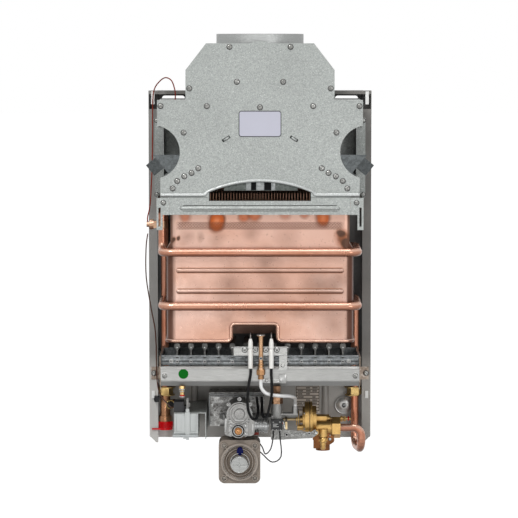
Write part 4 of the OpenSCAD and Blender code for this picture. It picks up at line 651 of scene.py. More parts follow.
    def brasses(self) -> dict[str, Brass]:
        """Returns the finishes of brass pieces, by node."""
        gold, brown = self.brass, (0.238, 0.126, 0.042)
        pale = (0.50, 0.34, 0.15)
        return {
            "water_valve_body": Brass("water_brass", gold, brown, tarnish=0.3),
            "diaphragm_cover": Brass("cover_brass", gold, brown, tarnish=0.3),
            "drain_plug": Brass("drain_brass", painter(gold, 0.92), brown, cast=False, tarnish=0.35),
            "cold_inlet": Brass("inlet_brown", (0.20, 0.075, 0.022), (0.07, 0.028, 0.012), tarnish=0.6),
            "union_nuts": Brass("nut_brass", (0.42, 0.301, 0.119), brown, cast=False),
            "injectors": Brass("injector_brass", pale, brown, cast=False),
            "test_nipple": Brass("nipple_brass", pale, brown, cast=False, tarnish=0.3),
            "pilot_burner": Brass("pilot_brass", (0.462, 0.287, 0.168), (0.238, 0.119, 0.056), cast=False,
                                  tarnish=0.45),
            "gas_spindle": Brass("spindle_brass", (0.40, 0.20, 0.08), (0.15, 0.06, 0.022), cast=False,
                                 tarnish=0.5),
            "gas_riser": Brass("riser_bronze", (0.22, 0.125, 0.07), (0.10, 0.052, 0.028), cast=False,
                               tarnish=0.5),
            "water_spindle": Brass("stem_brass", pale, brown, cast=False, tarnish=0.3),
            "push_rod": Brass("rod_brass", (0.518, 0.42, 0.252), brown, cast=False, tarnish=0.3),
            "hot_outlet": Brass("outlet_brass", (0.33, 0.165, 0.085), (0.12, 0.05, 0.025), cast=False,
                                tarnish=0.5),
        }

    def mouldings(self) -> dict[str, object]:
        """Returns the finishes of painted, moulded and ceramic pieces, by node."""
        black, dust = (0.008, 0.008, 0.009), (0.04, 0.04, 0.04)
        taupe = (0.235, 0.195, 0.16)
        return {
            "back_panel": PanelPaint(),
            "edge_clips": Moulded("clip_white", (0.88, 0.88, 0.86), (0.60, 0.58, 0.54), rough=0.4),
            "electrode_ceramics": Moulded("ceramic_white", (0.86, 0.85, 0.82), (0.70, 0.66, 0.58),
                                          rough=0.2, peel=0.05, coat=0.6, wear=0.35),
            "regulator_body": Moulded("regulator_taupe", taupe, painter(taupe, 0.6), rough=0.46, peel=0.3,
                                      wear=0.5),
            "regulator_cover": Moulded("regulator_cover_taupe", painter(taupe, 1.08), painter(taupe, 0.62),
                                       rough=0.44, peel=0.3, wear=0.45),
            "diaphragm": Moulded("diaphragm_rubber", black, dust, rough=0.6),
            "micro_switch": Moulded("switch_black", black, dust, rough=0.38),
            "switch_button": Moulded("button_red", (0.60, 0.06, 0.03), (0.35, 0.05, 0.03), rough=0.35),
            "red_cap": Moulded("cap_red", (0.58, 0.0, 0.004), (0.62, 0.04, 0.03), rough=0.3, peel=0.05,
                               coat=0.1, wear=0.2, gloss=0.15),
            "battery_box": Moulded("box_grey", (0.56, 0.58, 0.57), (0.40, 0.41, 0.40), rough=0.4),
            "battery_lid": Moulded("lid_grey", (0.52, 0.54, 0.54), (0.38, 0.39, 0.39), rough=0.4),
            "igniter_unit": Moulded("igniter_black", (0.03, 0.03, 0.033), dust, rough=0.5, peel=0.2),
            "spark_leads": Moulded("lead_rubber", (0.004, 0.004, 0.0045), painter(dust, 0.5), rough=0.5,
                                   gloss=0.12),
            "wires": Moulded("wire_black", (0.03, 0.02, 0.018), (0.14, 0.08, 0.05), rough=0.5),
        }

    def trims(self) -> dict[str, object]:
        """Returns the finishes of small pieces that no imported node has, by the finish's name."""
        made = (
            Moulded("painted_screw_shadow", (0.05, 0.05, 0.05), (0.10, 0.10, 0.10), rough=0.6),
            SheetMetal("painted_highlight_zinc", (0.50, 0.52, 0.51), (0.36, 0.375, 0.37), rough=0.34, metallic=0.5,
                       grime=0.1),
            SheetMetal("rib_dark", (0.06, 0.062, 0.06), (0.03, 0.031, 0.03), Metal.DULLED, grain=400.0),
            Moulded("plate_lilac", (0.53, 0.53, 0.61), (0.45, 0.45, 0.51), rough=0.34, peel=0.05, coat=0.2,
                    wear=0.35),
            Moulded("plate_border", (0.03, 0.03, 0.035), (0.08, 0.08, 0.08), rough=0.4),
            Moulded("painted_slit_shade", (0.01, 0.01, 0.01), (0.03, 0.03, 0.03), rough=0.8),
            SheetMetal("sight_dull", (0.13, 0.145, 0.135), (0.07, 0.08, 0.073), Metal.DULLED, grain=400.0,
                       metallic=0.4, rough=0.5),
            Moulded("gloss_red", (0.55, 0.002, 0.004), (0.60, 0.05, 0.04), rough=0.3, peel=0.04, coat=0.1,
                    wear=0.15, gloss=0.15),
            Moulded("painted_gap_shade", (0.006, 0.006, 0.007), (0.02, 0.02, 0.02), rough=0.8, gloss=0.05),
            Brass("bronze", (0.40, 0.22, 0.10), (0.18, 0.08, 0.035), cast=False, tarnish=0.45),
            SheetMetal("bright_cast", (0.60, 0.60, 0.585), (0.26, 0.26, 0.255), Metal.CAST, grain=900.0,
                       metallic=0.6, rough=0.34, grime=0.35),
            SheetMetal("turned_steel", (0.43, 0.43, 0.42), (0.31, 0.31, 0.30), Metal.BRUSHED, grain=150.0,
                       metallic=0.6, rough=0.3, shade=0.8),
            Moulded("seal_brown", (0.13, 0.012, 0.006), (0.2, 0.03, 0.02), rough=0.5, gloss=0.15),
            SheetMetal("screw_taupe", (0.26, 0.235, 0.205), (0.11, 0.10, 0.085), Metal.DULLED, grain=600.0,
                       metallic=0.6, rough=0.4, grime=0.4),
            Moulded("dot_green", (0.002, 0.12, 0.008), (0.01, 0.16, 0.02), rough=0.6, peel=0.05, wear=0.2,
                    gloss=0.08),
            Copper("painted_highlight_copper", (0.62, 0.34, 0.23), (0.78, 0.52, 0.41), (0.14, 0.05, 0.025), stain=0.2,
                   metallic=0.7, rough=0.2),
            Moulded("painted_highlight_taupe", (0.36, 0.31, 0.265), (0.18, 0.15, 0.125), rough=0.4, peel=0.3, wear=0.45),
            Moulded("dot_blue", (0.001, 0.003, 0.06), (0.01, 0.015, 0.10), rough=0.5, peel=0.05, wear=0.2,
                    gloss=0.1),
            SheetMetal("dish_bright", (0.46, 0.455, 0.44), (0.36, 0.355, 0.34), Metal.BRUSHED, grain=60.0,
                       metallic=0.6, rough=0.36, grime=0.2),
            SheetMetal("screw_dark", (0.20, 0.20, 0.20), (0.05, 0.05, 0.05), Metal.DULLED, grain=500.0,
                       metallic=0.8, rough=0.3, grime=0.3),
            Moulded("label_taupe", (0.66, 0.58, 0.50), (0.50, 0.43, 0.36), rough=0.5, peel=0.05, wear=0.4),
            Moulded("rule_dark", (0.03, 0.022, 0.016), (0.08, 0.06, 0.05), rough=0.6),
            Moulded("plug_grey", (0.50, 0.49, 0.47), (0.34, 0.33, 0.31), rough=0.4),
            Moulded("mark_white", (0.72, 0.72, 0.70), (0.5, 0.5, 0.48), rough=0.5),
            SheetMetal("rib_bright", (0.56, 0.58, 0.58), (0.36, 0.37, 0.37), grime=0.1),
        )
        return {finish.name: finish for finish in made}

    def all(self) -> dict[str, object]:
        """Returns every finish, by node or by its own name."""
        return {**self.sheets(), **self.coppers(), **self.brasses(), **self.mouldings(), **self.trims()}


class Paint:
    """Builds each finish once and hands it out by name."""

    def __init__(self, palette: Palette) -> None:
        """Keeps the palette and an empty shelf of materials."""
        self.finishes = palette.all()
        self.shelf: dict[str, Material] = {}

    def of(self, name: str) -> Material:
        """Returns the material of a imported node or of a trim."""
        return self.made(self.finishes[name])

    def made(self, finish: object) -> Material:
        """Returns the material of any finish, built the first time."""
        if finish.name not in self.shelf:
            self.shelf[finish.name] = finish.build()
        return self.shelf[finish.name]

    def dress_nodes(self) -> None:
        """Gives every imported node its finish."""
        for name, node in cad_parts.items():
            material = self.of(name)
            if not node.material_slots:
                node.data.materials.append(material)
            for place in node.material_slots:
                place.material = material
            LOG.info("node %s: %s", name, material.name)


class Forge:
    """Turns bmesh work into finished pieces that ride on a body."""

    def __init__(self, paint: Paint) -> None:
        """Keeps the paint shop."""
        self.paint = paint

    def piece(self, name: str, bm: Shape, finish: str, body: str = "root",
              slot: Optional[str] = None, smooth: float = 35.0) -> bpy.types.Object:
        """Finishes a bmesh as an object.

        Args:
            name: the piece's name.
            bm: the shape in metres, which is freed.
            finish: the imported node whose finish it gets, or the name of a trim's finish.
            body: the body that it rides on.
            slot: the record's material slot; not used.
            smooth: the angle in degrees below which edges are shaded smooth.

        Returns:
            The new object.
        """
        bmesh.ops.remove_doubles(bm, verts=bm.verts, dist=WELD)
        bmesh.ops.recalc_face_normals(bm, faces=bm.faces)
        for face in bm.faces:
            face.smooth = True
        for edge in bm.edges:
            sharp = len(edge.link_faces) != 2 or edge.calc_face_angle(0.0) > radians(smooth)
            edge.smooth = not sharp
        mesh = bpy.data.meshes.new(name)
        bm.to_mesh(mesh)
        bm.free()
        obj = placed(name, mesh)
        mesh.materials.append(self.paint.of(finish))
        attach(obj, body)
        LOG.info("piece %s on %s", name, body)
        return obj


def turned(bm: Shape, profile: Sequence[Pair], steps: int,
           matrix: Matrix) -> None:
    """Spins a profile of (radius, height) in millimetres about Z and places it.

    Args:
        bm: the bmesh that gets the shape.
        profile: the outline from one pole to the other.
        steps: how many facets there are round it.
        matrix: where the shape goes, in metres.
    """
    points = [bm.verts.new((r * MM, 0.0, z * MM)) for r, z in profile]
    lines = [bm.edges.new(pair) for pair in zip(points, points[1:])]
    made = bmesh.ops.spin(bm, geom=points + lines, cent=(0, 0, 0), axis=UP,
                          angle=2 * pi, steps=steps, use_merge=True)
    found = {v for v in points if v.is_valid}
    found |= {v for v in made["geom_last"] if isinstance(v, bmesh.types.BMVert) and v.is_valid}
    seen, queue = set(found), list(found)
    while queue:
        for edge in queue.pop().link_edges:
            for vert in edge.verts:
                if vert not in seen:
                    seen.add(vert)
                    queue.append(vert)
    bmesh.ops.remove_doubles(bm, verts=list(seen), dist=WELD)
    bmesh.ops.transform(bm, matrix=matrix, verts=[v for v in seen if v.is_valid])


def facing(at: Point, normal: Point = FRONT, roll: float = 0.0) -> Matrix:
    """Returns the place of a piece whose Z axis points along a normal.

    Args:
        at: the place in millimetres.
        normal: the direction in which Z points.
        roll: a turn about Z in degrees.

    Returns:
        The matrix in metres.
    """
    turn = Vector(normal).to_track_quat("Z", "Y").to_matrix().to_4x4()
    return Matrix.Translation(Vector(at) * MM) @ turn @ Matrix.Rotation(radians(roll), 4, "Z")


def plate(bm: Shape, size: Point, centre: Point, bevel: float = 0.0,
          turn: Optional[Matrix] = None) -> None:
    """Adds a box with bevelled edges.

    Args:
        bm: the bmesh that gets it.
        size: its sizes in millimetres.
        centre: its middle in millimetres.
        bevel: the bevel's width in millimetres.
        turn: a turn about its own middle.
    """
    scale = Matrix.Diagonal((size[0] * MM, size[1] * MM, size[2] * MM, 1.0))
    made = bmesh.ops.create_cube(bm, size=1.0, matrix=scale)
    verts = made["verts"]
    if bevel:
        edges = list({e for v in verts for e in v.link_edges})
        done = bmesh.ops.bevel(bm, geom=edges, offset=bevel * MM, segments=2, profile=0.5, affect="EDGES",
                               material=-1)
        verts = list({v for f in done["faces"] for v in f.verts} | {v for v in verts if v.is_valid})
    place = Matrix.Translation(Vector(centre) * MM) @ (turn or Matrix.Identity(4))
    bmesh.ops.transform(bm, matrix=place, verts=verts)


@dataclass
class Studio:
    """The camera, lamps, world and floor.

    Attributes:
        aim: the point that the camera looks at, in millimetres.
        distance: how far away the camera stands, in metres.
        pitch: how far it looks down, in degrees.
        lens: its focal length for a 36 mm sensor.
        floor_z: how high the floor lies, in metres.
        lamps: each lamp's name, place in metres, side in metres and power in watts.
        sky: how strongly the world lights the heater.
        floor_grey: how pale the floor is where it takes the shadow.
        glow: how bright the floor looks by itself.
        glow_share: how much of the floor's look that makes.
    """

    aim: Point = (-1.46, -90.0, -232.7)
    distance: float = 4.0
    pitch: float = 5.0
    lens: float = 189.7
    floor_z: float = -1.05
    lamps: tuple[tuple[str, Point, float, float], ...] = (
        ("key", (-0.9, -2.3, 1.7), 0.8, 42.0), ("fill", (1.4, -2.8, 0.1), 1.0, 19.0),
        ("top", (0.3, -0.5, 2.2), 0.9, 18.0), ("low", (-0.2, -2.6, -0.9), 0.8, 7.0))
    sky: float = 0.22
    floor_grey: float = 0.86
    glow: float = 1.12
    glow_share: float = 0.93

    def camera(self) -> None:
        """Makes the scene's camera at the photograph's angle."""
        data = bpy.data.cameras.new("camera")
        data.lens, data.sensor_width, data.sensor_fit = self.lens, 36.0, "HORIZONTAL"
        camera = placed("camera", data)
        tilt = radians(self.pitch)
        back = Vector((0.0, -cos(tilt), sin(tilt)))
        camera.location = Vector(self.aim) * MM + back * self.distance
        camera.rotation_mode = "QUATERNION"
        camera.rotation_quaternion = (-back).to_track_quat("-Z", "Y")
        bpy.context.scene.camera = camera

    def lamp(self, name: str, at: Point, size: float, power: float) -> None:
        """Adds a soft square lamp that looks at the heater.

        Args:
            name: the lamp's name.
            at: where it hangs, in metres.
            size: its side in metres.
            power: its power in watts.
        """
        data = bpy.data.lights.new(name, "AREA")
        data.energy, data.size, data.shape = power, size, "SQUARE"
        lamp = placed(name, data)
        lamp.location = at
        aim = Vector(self.aim) * MM
        lamp.rotation_mode = "QUATERNION"
        lamp.rotation_quaternion = (Vector(at) - aim).to_track_quat("Z", "Y")

    @staticmethod
    def shader(tree: bpy.types.NodeTree, kind: str, colour: Colour,
               strength: Optional[float] = None) -> bpy.types.Node:
        """Adds a plain shader node of one colour, and of a strength where it has one."""
        made = tree.nodes.new("ShaderNode" + kind)
        made.inputs["Color"].default_value = (*colour, 1.0)
        if strength is not None:
            made.inputs["Strength"].default_value = strength
        return made

    @staticmethod
    def show(tree: bpy.types.NodeTree, out: str, plain: bpy.types.Node, shown: bpy.types.Node,
             share: float) -> None:
        """Gives the camera, mirrors and glass another shader than all other rays.

        Args:
            tree: the node tree.
            out: the type of its output node.
            plain: the shader for all other rays.
            shown: the shader for the camera, mirrors and glass.
            share: how much of it they get.
        """
        path = tree.nodes.new("ShaderNodeLightPath")
        seen = path.outputs["Is Camera Ray"]
        for operation, value in (("MAXIMUM", path.outputs["Is Glossy Ray"]),
                                 ("MAXIMUM", path.outputs["Is Transmission Ray"]), ("MULTIPLY", None)):
            step = tree.nodes.new("ShaderNodeMath")
            step.operation = operation
            step.inputs[1].default_value = share
            if value:
                tree.links.new(value, step.inputs[1])
            tree.links.new(seen, step.inputs[0])
            seen = step.outputs[0]
        mix = tree.nodes.new("ShaderNodeMixShader")
        for socket, value in zip(mix.inputs, (seen, plain.outputs[0], shown.outputs[0])):
            tree.links.new(value, socket)
        tree.links.new(mix.outputs[0], tree.nodes.new(out).inputs["Surface"])

    def world(self) -> None:
        """Makes a soft grey light that the camera, mirrors and glass see as white."""
        world = bpy.data.worlds.new("studio")
        bpy.context.scene.world = world
        world.use_nodes = True
        tree = world.node_tree
        tree.nodes.clear()
        soft = self.shader(tree, "Background", (0.96, 0.98, 1.0), self.sky)
        white = self.shader(tree, "Background", (1.0, 1.0, 1.0), 1.0)
        self.show(tree, "ShaderNodeOutputWorld", soft, white, 1.0)

    def floor(self) -> None:
        """Lays a pale floor that keeps the heater's shadow."""
        bm = bmesh.new()
        bmesh.ops.create_grid(bm, x_segments=1, y_segments=1, size=30.0,
                              matrix=Matrix.Translation((0, 0, self.floor_z)))
        mesh = bpy.data.meshes.new("floor")
        bm.to_mesh(mesh)
        bm.free()
        mat = bpy.data.materials.new("floor")
        mat.use_nodes = True
        tree = mat.node_tree
        tree.nodes.clear()
        matt = self.shader(tree, "BsdfDiffuse", (self.floor_grey,) * 3)
        glow = self.shader(tree, "Emission", (1.0, 1.0, 1.0), self.glow)
        self.show(tree, "ShaderNodeOutputMaterial", matt, glow, self.glow_share)
        mesh.materials.append(mat)
        placed("floor", mesh)

    def build(self) -> None:
        """Sets the whole studio up."""
        bpy.context.scene.view_settings.view_transform = "Standard"
        self.camera()
        for lamp in self.lamps:
            self.lamp(*lamp)
        self.world()
        self.floor()


@dataclass
class Harness:
    """The spark leads and the thin wires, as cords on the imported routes.

    Attributes:
        paint: the paint shop.
        lead_d: a spark lead's diameter in metres.
        wire_d: a thin wire's diameter in metres.
        leads: the spark leads' points in millimetres.
        wires: the thin wires' colours and their points in millimetres.
    """

    paint: Paint
    lead_d: float = 0.004
    wire_d: float = 0.0018
    leads: dict[str, tuple[Point, ...]] = field(default_factory=lambda: {
        "spark_lead_left": (
            (-13.7, -169, -384.3), (-13.7, -169, -393), (-17, -172, -412), (-18, -164, -432),
            (-17, -155, -447), (-12, -150, -459), (-6, -146, -461), (-3, -140, -454),
            (-3, -126, -446), (-4, -100, -443), (-4.5, -70, -442), (-4.5, -60.1, -442)),
        "spark_lead_right": (
            (16.3, -169, -384.3), (16.3, -169, -393), (17, -174, -412), (16, -172, -428),
            (13, -160, -444), (10, -152, -456), (5, -146, -458), (3, -138, -451),
            (3, -124, -445), (3, -100, -443), (2.5, -70, -442), (2.5, -60.1, -442))})
    wires: dict[str, tuple[Colour, tuple[Point, ...]]] = field(default_factory=lambda: {
        "fuse_wire": ((0.20, 0.025, 0.012), (
            (-163, -124, -174.9), (-163, -124, -168), (-160, -105, -150), (-158.5, -70, -100),
            (-158.5, -46, -50), (-158.5, -40, -10), (-156, -42, 14), (-147, -50, 27),
            (-138, -62, 32), (-129, -72, 27), (-124, -80, 12), (-124, -80, 0.5))),
        "cut_off_wire": ((0.075, 0.03, 0.02), (
            (-163, -124, -193), (-166, -112, -215), (-167, -85, -260), (-161, -55, -310),
            (-155, -44, -350), (-153, -44, -420), (-146, -60, -440), (-136, -95, -446),
            (-130, -121, -447), (-125.8, -122, -447))),
        "switch_wire_left": ((0.004, 0.004, 0.004), (
            (19.5, -118, -483.1), (19.5, -118, -490), (16, -109, -510), (8, -92, -521),
            (3, -74, -513), (-6, -68, -502), (-14, -67, -495), (-14, -67, -490.1))),
        "switch_wire_right": ((0.004, 0.004, 0.004), (
            (29, -118, -483.1), (29, -118, -490), (31, -106, -522), (18, -86, -534),
            (4, -70, -525), (-12, -67, -509), (-24, -67, -496), (-24, -67, -490.1)))})

    @staticmethod
    def smooth(points: Sequence[Point], steps: int = 8) -> list[Vector]:
        """Returns a smooth line through points, in metres.

        Args:
            points: the given points in millimetres.
            steps: how many stretches lie between two of them.

        Returns:
            The line's points.
        """
        p = [Vector(q) * MM for q in points]
        line = []
        for i in range(len(p) - 1):
            a, b, c, d = p[max(i - 1, 0)], p[i], p[i + 1], p[min(i + 2, len(p) - 1)]
            for k in range(steps + (i == len(p) - 2)):
                t = k / steps
                line.append(0.5 * (2 * b + (c - a) * t + (2 * a - 5 * b + 4 * c - d) * t * t
                                   + (3 * b - a - 3 * c + d) * t ** 3))
        return line

    def strand(self, name: str, line: Sequence[Vector], diameter: float, material: Material,
               node: str) -> None:
        """Args:
            name: the piece's name.
            line: the points that it follows, in metres.
            diameter: its diameter in metres.
            material: its material.
            node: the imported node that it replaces.
        """
        data = bpy.data.curves.new(name, "CURVE")
        data.dimensions = "3D"
        data.bevel_depth, data.bevel_resolution, data.use_fill_caps = diameter / 2, 4, True
        spline = data.splines.new("POLY")
        spline.points.add(len(line) - 1)
        for point, at in zip(spline.points, line):
            point.co = (*at, 1.0)
        data.materials.append(material)
        obj = placed(name, data)
        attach(obj, "root")
        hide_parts(node)

    def build(self) -> None:
        """Makes every lead and wire."""
        for name, points in self.leads.items():
            self.strand(name, self.smooth(points), self.lead_d, self.paint.of("spark_leads"), "spark_leads")
        for name, (colour, points) in self.wires.items():
            finish = Moulded(name, colour, painter(colour, 1.9), 0.5, gloss=0.1)
            self.strand(name, self.smooth(points, 4), self.wire_d, self.paint.made(finish), "wires")


def skinned(bm: Shape, rings: Sequence[Sequence[Vector]]) -> None:
    """Bridges closed rings of points, in metres, and closes both ends."""
    loops = []
    for places in rings:
        verts = [bm.verts.new(place) for place in places]
        loops.append([bm.edges.new(pair) for pair in zip(verts, verts[1:] + verts[:1])])
    for a, b in zip(loops, loops[1:]):
        bmesh.ops.bridge_loops(bm, edges=a + b)
    for loop in (loops[0], loops[-1]):
        bmesh.ops.edgeloop_fill(bm, edges=loop)


def swept(bm: Shape, path: Sequence[Point], profile: Sequence[Pair],
          out: Point = FRONT, scale: Optional[Sequence[float]] = None) -> None:
    """Sweeps an open profile along a path and closes its ends and its back.

    Args:
        bm: the bmesh that gets the shape.
        path: the points that it follows, in millimetres.
        profile: the outline as (across, outwards) in millimetres.
        out: the direction in which the profile stands proud.
        scale: how large the profile is at each point of the path.
    """
    line = [Vector(p) for p in path]
    up = Vector(out)
    rings = []
    for i, at in enumerate(line):
        along = (line[min(i + 1, len(line) - 1)] - line[max(i - 1, 0)]).normalized()
        side = along.cross(up).normalized()
        share = scale[i] if scale else 1.0
        rings.append([(at + (side * u + up * v) * share) * MM for u, v in profile])
    skinned(bm, rings)


def half_round(width: float, proud: float, steps: int = 10,
               sunk: float = 0.4) -> list[Pair]:
    """Returns the profile of a half-round bead, with its back a little below the sheet."""
    arc = [(-width / 2 * cos(pi * i / steps), proud * sin(pi * i / steps))
           for i in range(steps + 1)]
    return [(-width / 2, -sunk), *arc, (width / 2, -sunk)]


def pan_head(bm: Shape, at: Point, normal: Point, radius: float, height: float) -> None:
    """Adds a pan head with a rounded crown, its seat at a point."""
    crown = [(radius * cos(a), height * (0.45 + 0.55 * sin(a)))
             for a in (radians(d) for d in (90, 72, 54, 36, 18, 0))]
    profile = [(0.0, height), *crown[1:], (radius, 0.0), (0.0, 0.0)]
    turned(bm, profile, 28, facing(at, normal))


def cut(obj: bpy.types.Object, tool: Shape) -> None:
    """Cuts one shape out of a finished object and keeps the result as its mesh.

    Args:
        obj: the object that is cut.
        tool: the shape that is cut away, which is freed.
    """
    bmesh.ops.recalc_face_normals(tool, faces=tool.faces)
    mesh = bpy.data.meshes.new("tool")
    tool.to_mesh(mesh)
    tool.free()
    cutter = placed("tool", mesh)
    change = obj.modifiers.new("cut", "BOOLEAN")
    change.object, change.operation, change.solver = cutter, "DIFFERENCE", "EXACT"
    graph = bpy.context.evaluated_depsgraph_get()
    done = bpy.data.meshes.new_from_object(obj.evaluated_get(graph))
    obj.modifiers.remove(change)
    obj.data = done
    bpy.data.objects.remove(cutter)
    bpy.data.meshes.remove(mesh)


@dataclass
class Screws:
    """Slotted pan heads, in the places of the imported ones.

    Attributes:
        forge: what makes the pieces.
        hood: the hood's screws on the right half, as X and Z in millimetres.
        ear_y: where the seat of the burner ears' screws lies.
        slot: how wide and how deep a slot is.
    """

    forge: Forge
    hood: tuple[Pair, ...] = (
        (43.8, 77.8), (101.5, 18.4), (33.2, 27.8), (142.8, -7.0), (76.4, -7.0), (109.8, -45.0),
        (88.8, -96.3), (98.6, -103.0), (109.0, -108.0), (119.2, -114.7), (125.8, -125.4))
    ear_y: float = -33.7
    slot: Pair = (0.9, 1.1)

    def places(self) -> list[tuple[Point, float, float]]:
        """Returns each head's seat, radius and height in millimetres."""
        right = [((x, -152.0, z), 3.6, 2.2) for x, z in self.hood]
        right += [((138.9, -158.0, -145.6), 3.3, 2.0), ((137.5, -164.0, -395.5), 3.9, 2.3),
                  ((158.0, self.ear_y, -408.5), 3.6, 2.2), ((152.0, -61.0, -31.0), 2.9, 1.8),
                  ((152.0, -61.0, -140.0), 2.9, 1.8)]
        left = [((-x, y, z), r, h) for (x, y, z), r, h in right]
        return right + left + [((0.0, -152.0, -8.7), 3.6, 2.2)]

    def build(self) -> None:
        """Makes the heads in one piece, cuts their slots, and lays a dark ring of painted shadow round
        each.
        """
        heads, slots = bmesh.new(), bmesh.new()
        for i, (at, radius, height) in enumerate(self.places()):
            pan_head(heads, at, FRONT, radius, height)
            angle = radians((i * 47) % 180)
            top = (at[0], at[1] - height, at[2])
            plate(slots, (radius * 2.4, self.slot[1] * 2, self.slot[0]), top,
                  turn=Matrix.Rotation(angle, 4, "Y"))
        # Painted shadow: a thin dark ring round each head, where its shadow falls on the sheet.
        shadow_rings = bmesh.new()
        for at, radius, _ in self.places():
            inner, rim = radius - 0.4, radius + 0.55
            profile = [(inner, 0.12), (rim, 0.12), (rim + 0.2, 0.0), (inner, 0.0), (inner, 0.12)]
            turned(shadow_rings, profile, 28, facing(at))
        self.forge.piece("screw_shadow_rings", shadow_rings, "painted_screw_shadow", slot="screw_zinc")
        obj = self.forge.piece("casing_screw_heads", heads, "casing_screws", slot="screw_zinc")
        cut(obj, slots)
        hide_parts("casing_screws")


@dataclass
class HoodDress:
    """The hood's rolled edge and sight sheet, the rail's rib, the bare plate and the bent tabs.

    Attributes:
        forge: what makes the pieces.
        front: where the plate's face lies.
        arch_half: half the width of the sight opening.
        arch_drop: how far down the arch's crown lies.
        arch_rise: how high the arch rises over its shoulders.
        tab: the right tab's middle as X and Z.
    """

    forge: Forge
    front: float = -152.0
    arch_half: float = 73.2
    arch_drop: float = 116.1
    arch_rise: float = 14.9
    tab: Pair = (48.8, -53.9)

    def hem(self) -> None:
        """Makes the rolled edge along the skirt and over the arch."""
        radius = (self.arch_half ** 2 + self.arch_rise ** 2) / (2 * self.arch_rise)
        centre = -self.arch_drop - radius
        outer = radius + 2.0
        reach = asin((self.arch_half + 1.5) / outer)
        low = -134.9
        path = [(-143.0, self.front, low), (-83.0, self.front, low), (-79.2, self.front, low + 0.6)]
        for i in range(33):
            a = -reach + 2 * reach * i / 32
            path.append((outer * sin(a), self.front, centre + outer * cos(a)))
        path += [(79.2, self.front, low + 0.6), (83.0, self.front, low), (143.0, self.front, low)]
        width = [1.0, 1.0, 0.95, *([0.72] * 33), 0.95, 1.0, 1.0]
        bm = bmesh.new()
        swept(bm, path, half_round(6.4, 2.9), scale=width)
        # The hem takes a paler zinc than the plate: a painted highlight on the rolled edge.
        self.forge.piece("hood_hem", bm, "painted_highlight_zinc", slot="plate_zinc", smooth=60.0)

    def rib(self) -> None:
        """Makes the half-round rib pressed out of the rail, and the lines of painted shadow beside it."""
        half, z, y = 110.6, -153.6, -158.0
        path, scale = [], []
        for i in range(9):
            a = pi / 2 * i / 8
            path.append((-half - 4.6 * cos(a), y, z))
            scale.append(max(sin(a), 0.04))
        path += [(-p[0], p[1], p[2]) for p in reversed(path)]
        scale += scale[::-1]
        bm = bmesh.new()
        swept(bm, path, half_round(6.6, 2.9, 14), scale=scale)
        self.forge.piece("rail_rib", bm, "exchanger_rail", slot="rail_zinc", smooth=60.0)
        dark = bmesh.new()
        for dz, high in ((4.0, 0.9), (-4.0, 0.5)):
            plate(dark, (2 * half, 0.3, high), (0.0, y - 0.1, z + dz))
        self.forge.piece("rib_shadows", dark, "rib_dark", slot="rail_zinc")

    def label(self) -> None:
        """Makes the bare plate with its thin dark border."""
        size, centre = (61.2, 0.5, 37.4), (0.0, self.front - 0.25, -32.4)
        for name, shrink, lift, finish in (("name_plate_border", 0.0, 0.0, "plate_border"),
                                           ("name_plate", 1.1, 0.12, "plate_lilac")):
            bm = bmesh.new()
            half_w, half_h, r = size[0] / 2 - shrink, size[2] / 2 - shrink, 4.0 - shrink
            rim = [(sx * (half_w - r) + r * cos(a), sz * (half_h - r) + r * sin(a))
                   for sx, sz, start in ((1, 1, 0), (-1, 1, 90), (-1, -1, 180), (1, -1, 270))
                   for a in (radians(start + 15 * k) for k in range(7))]
            front = [bm.verts.new((x * MM, (centre[1] - 0.25 - lift) * MM, (centre[2] + z) * MM))
                     for x, z in rim]
            face_made = bm.faces.new(front)
            bmesh.ops.inset_region(bm, faces=[face_made], thickness=0.25 * MM, depth=0.08 * MM)
            back = bmesh.ops.extrude_edge_only(bm, edges=[e for e in bm.edges if e.is_boundary])
            moved = [v for v in back["geom"] if isinstance(v, bmesh.types.BMVert)]
            bmesh.ops.translate(bm, verts=moved, vec=(0.0, 0.55 * MM, 0.0))
            self.forge.piece(name, bm, finish, slot="plate_zinc")

    def tabs(self) -> None:
        """Makes the two tabs that are bent out of the plate, and dark plates of painted shade in their
        slits.
        """
        bright, dark = bmesh.new(), bmesh.new()
        for s in (-1, 1):
            turn = Matrix.Rotation(radians(s * 32), 4, "Y")
            x, z = s * self.tab[0], self.tab[1]
            for step, (u, v) in enumerate(((-3.2, 0.5), (-1.6, 1.7), (0.4, 2.3), (2.4, 1.9), (3.9, 0.8))):
                lean = Matrix.Rotation(radians((step - 2) * 18), 4, "Z")
                at = turn @ Vector((u, 0.0, 0.0))
                plate(bright, (2.5, 0.8, 2.7), (x + at.x, self.front - v, z + at.z), 0.25, turn @ lean)
            plate(dark, (12.5, 0.3, 4.2), (x, self.front - 0.1, z), 0.0, turn)
        self.forge.piece("bent_tabs", bright, "hood_plate", slot="plate_zinc")
        self.forge.piece("tab_slits", dark, "painted_slit_shade", slot="plate_zinc")

    def sight(self) -> None:
        """Makes the sheet and bars that show behind the arch, fixed to the plate's back."""
        sheet, bars, gaps = bmesh.new(), bmesh.new(), bmesh.new()
        y = self.front + 2.6
        plate(sheet, (106.0, 1.0, 16.5), (1.0, y, -120.4), 0.2)
        for low, high in ((-20.1, -12.9), (-5.6, 6.0), (16.1, 21.9)):
            plate(bars, (high - low, 1.0, 15.5), ((low + high) / 2, y - 0.9, -120.6), 0.25)
        # Painted shade: dark plates in the gaps between the bars.
        for low, high in ((-12.9, -5.6), (6.0, 16.1)):
            plate(gaps, (high - low, 0.2, 14.5), ((low + high) / 2, y - 0.6, -120.6))
        self.forge.piece("sight_sheet", sheet, "sight_dull", slot="plate_zinc")
        self.forge.piece("sight_bars", bars, "hood_baffle", slot="baffle_zinc")
        self.forge.piece("sight_gaps", gaps, "painted_gap_shade", slot="baffle_zinc")

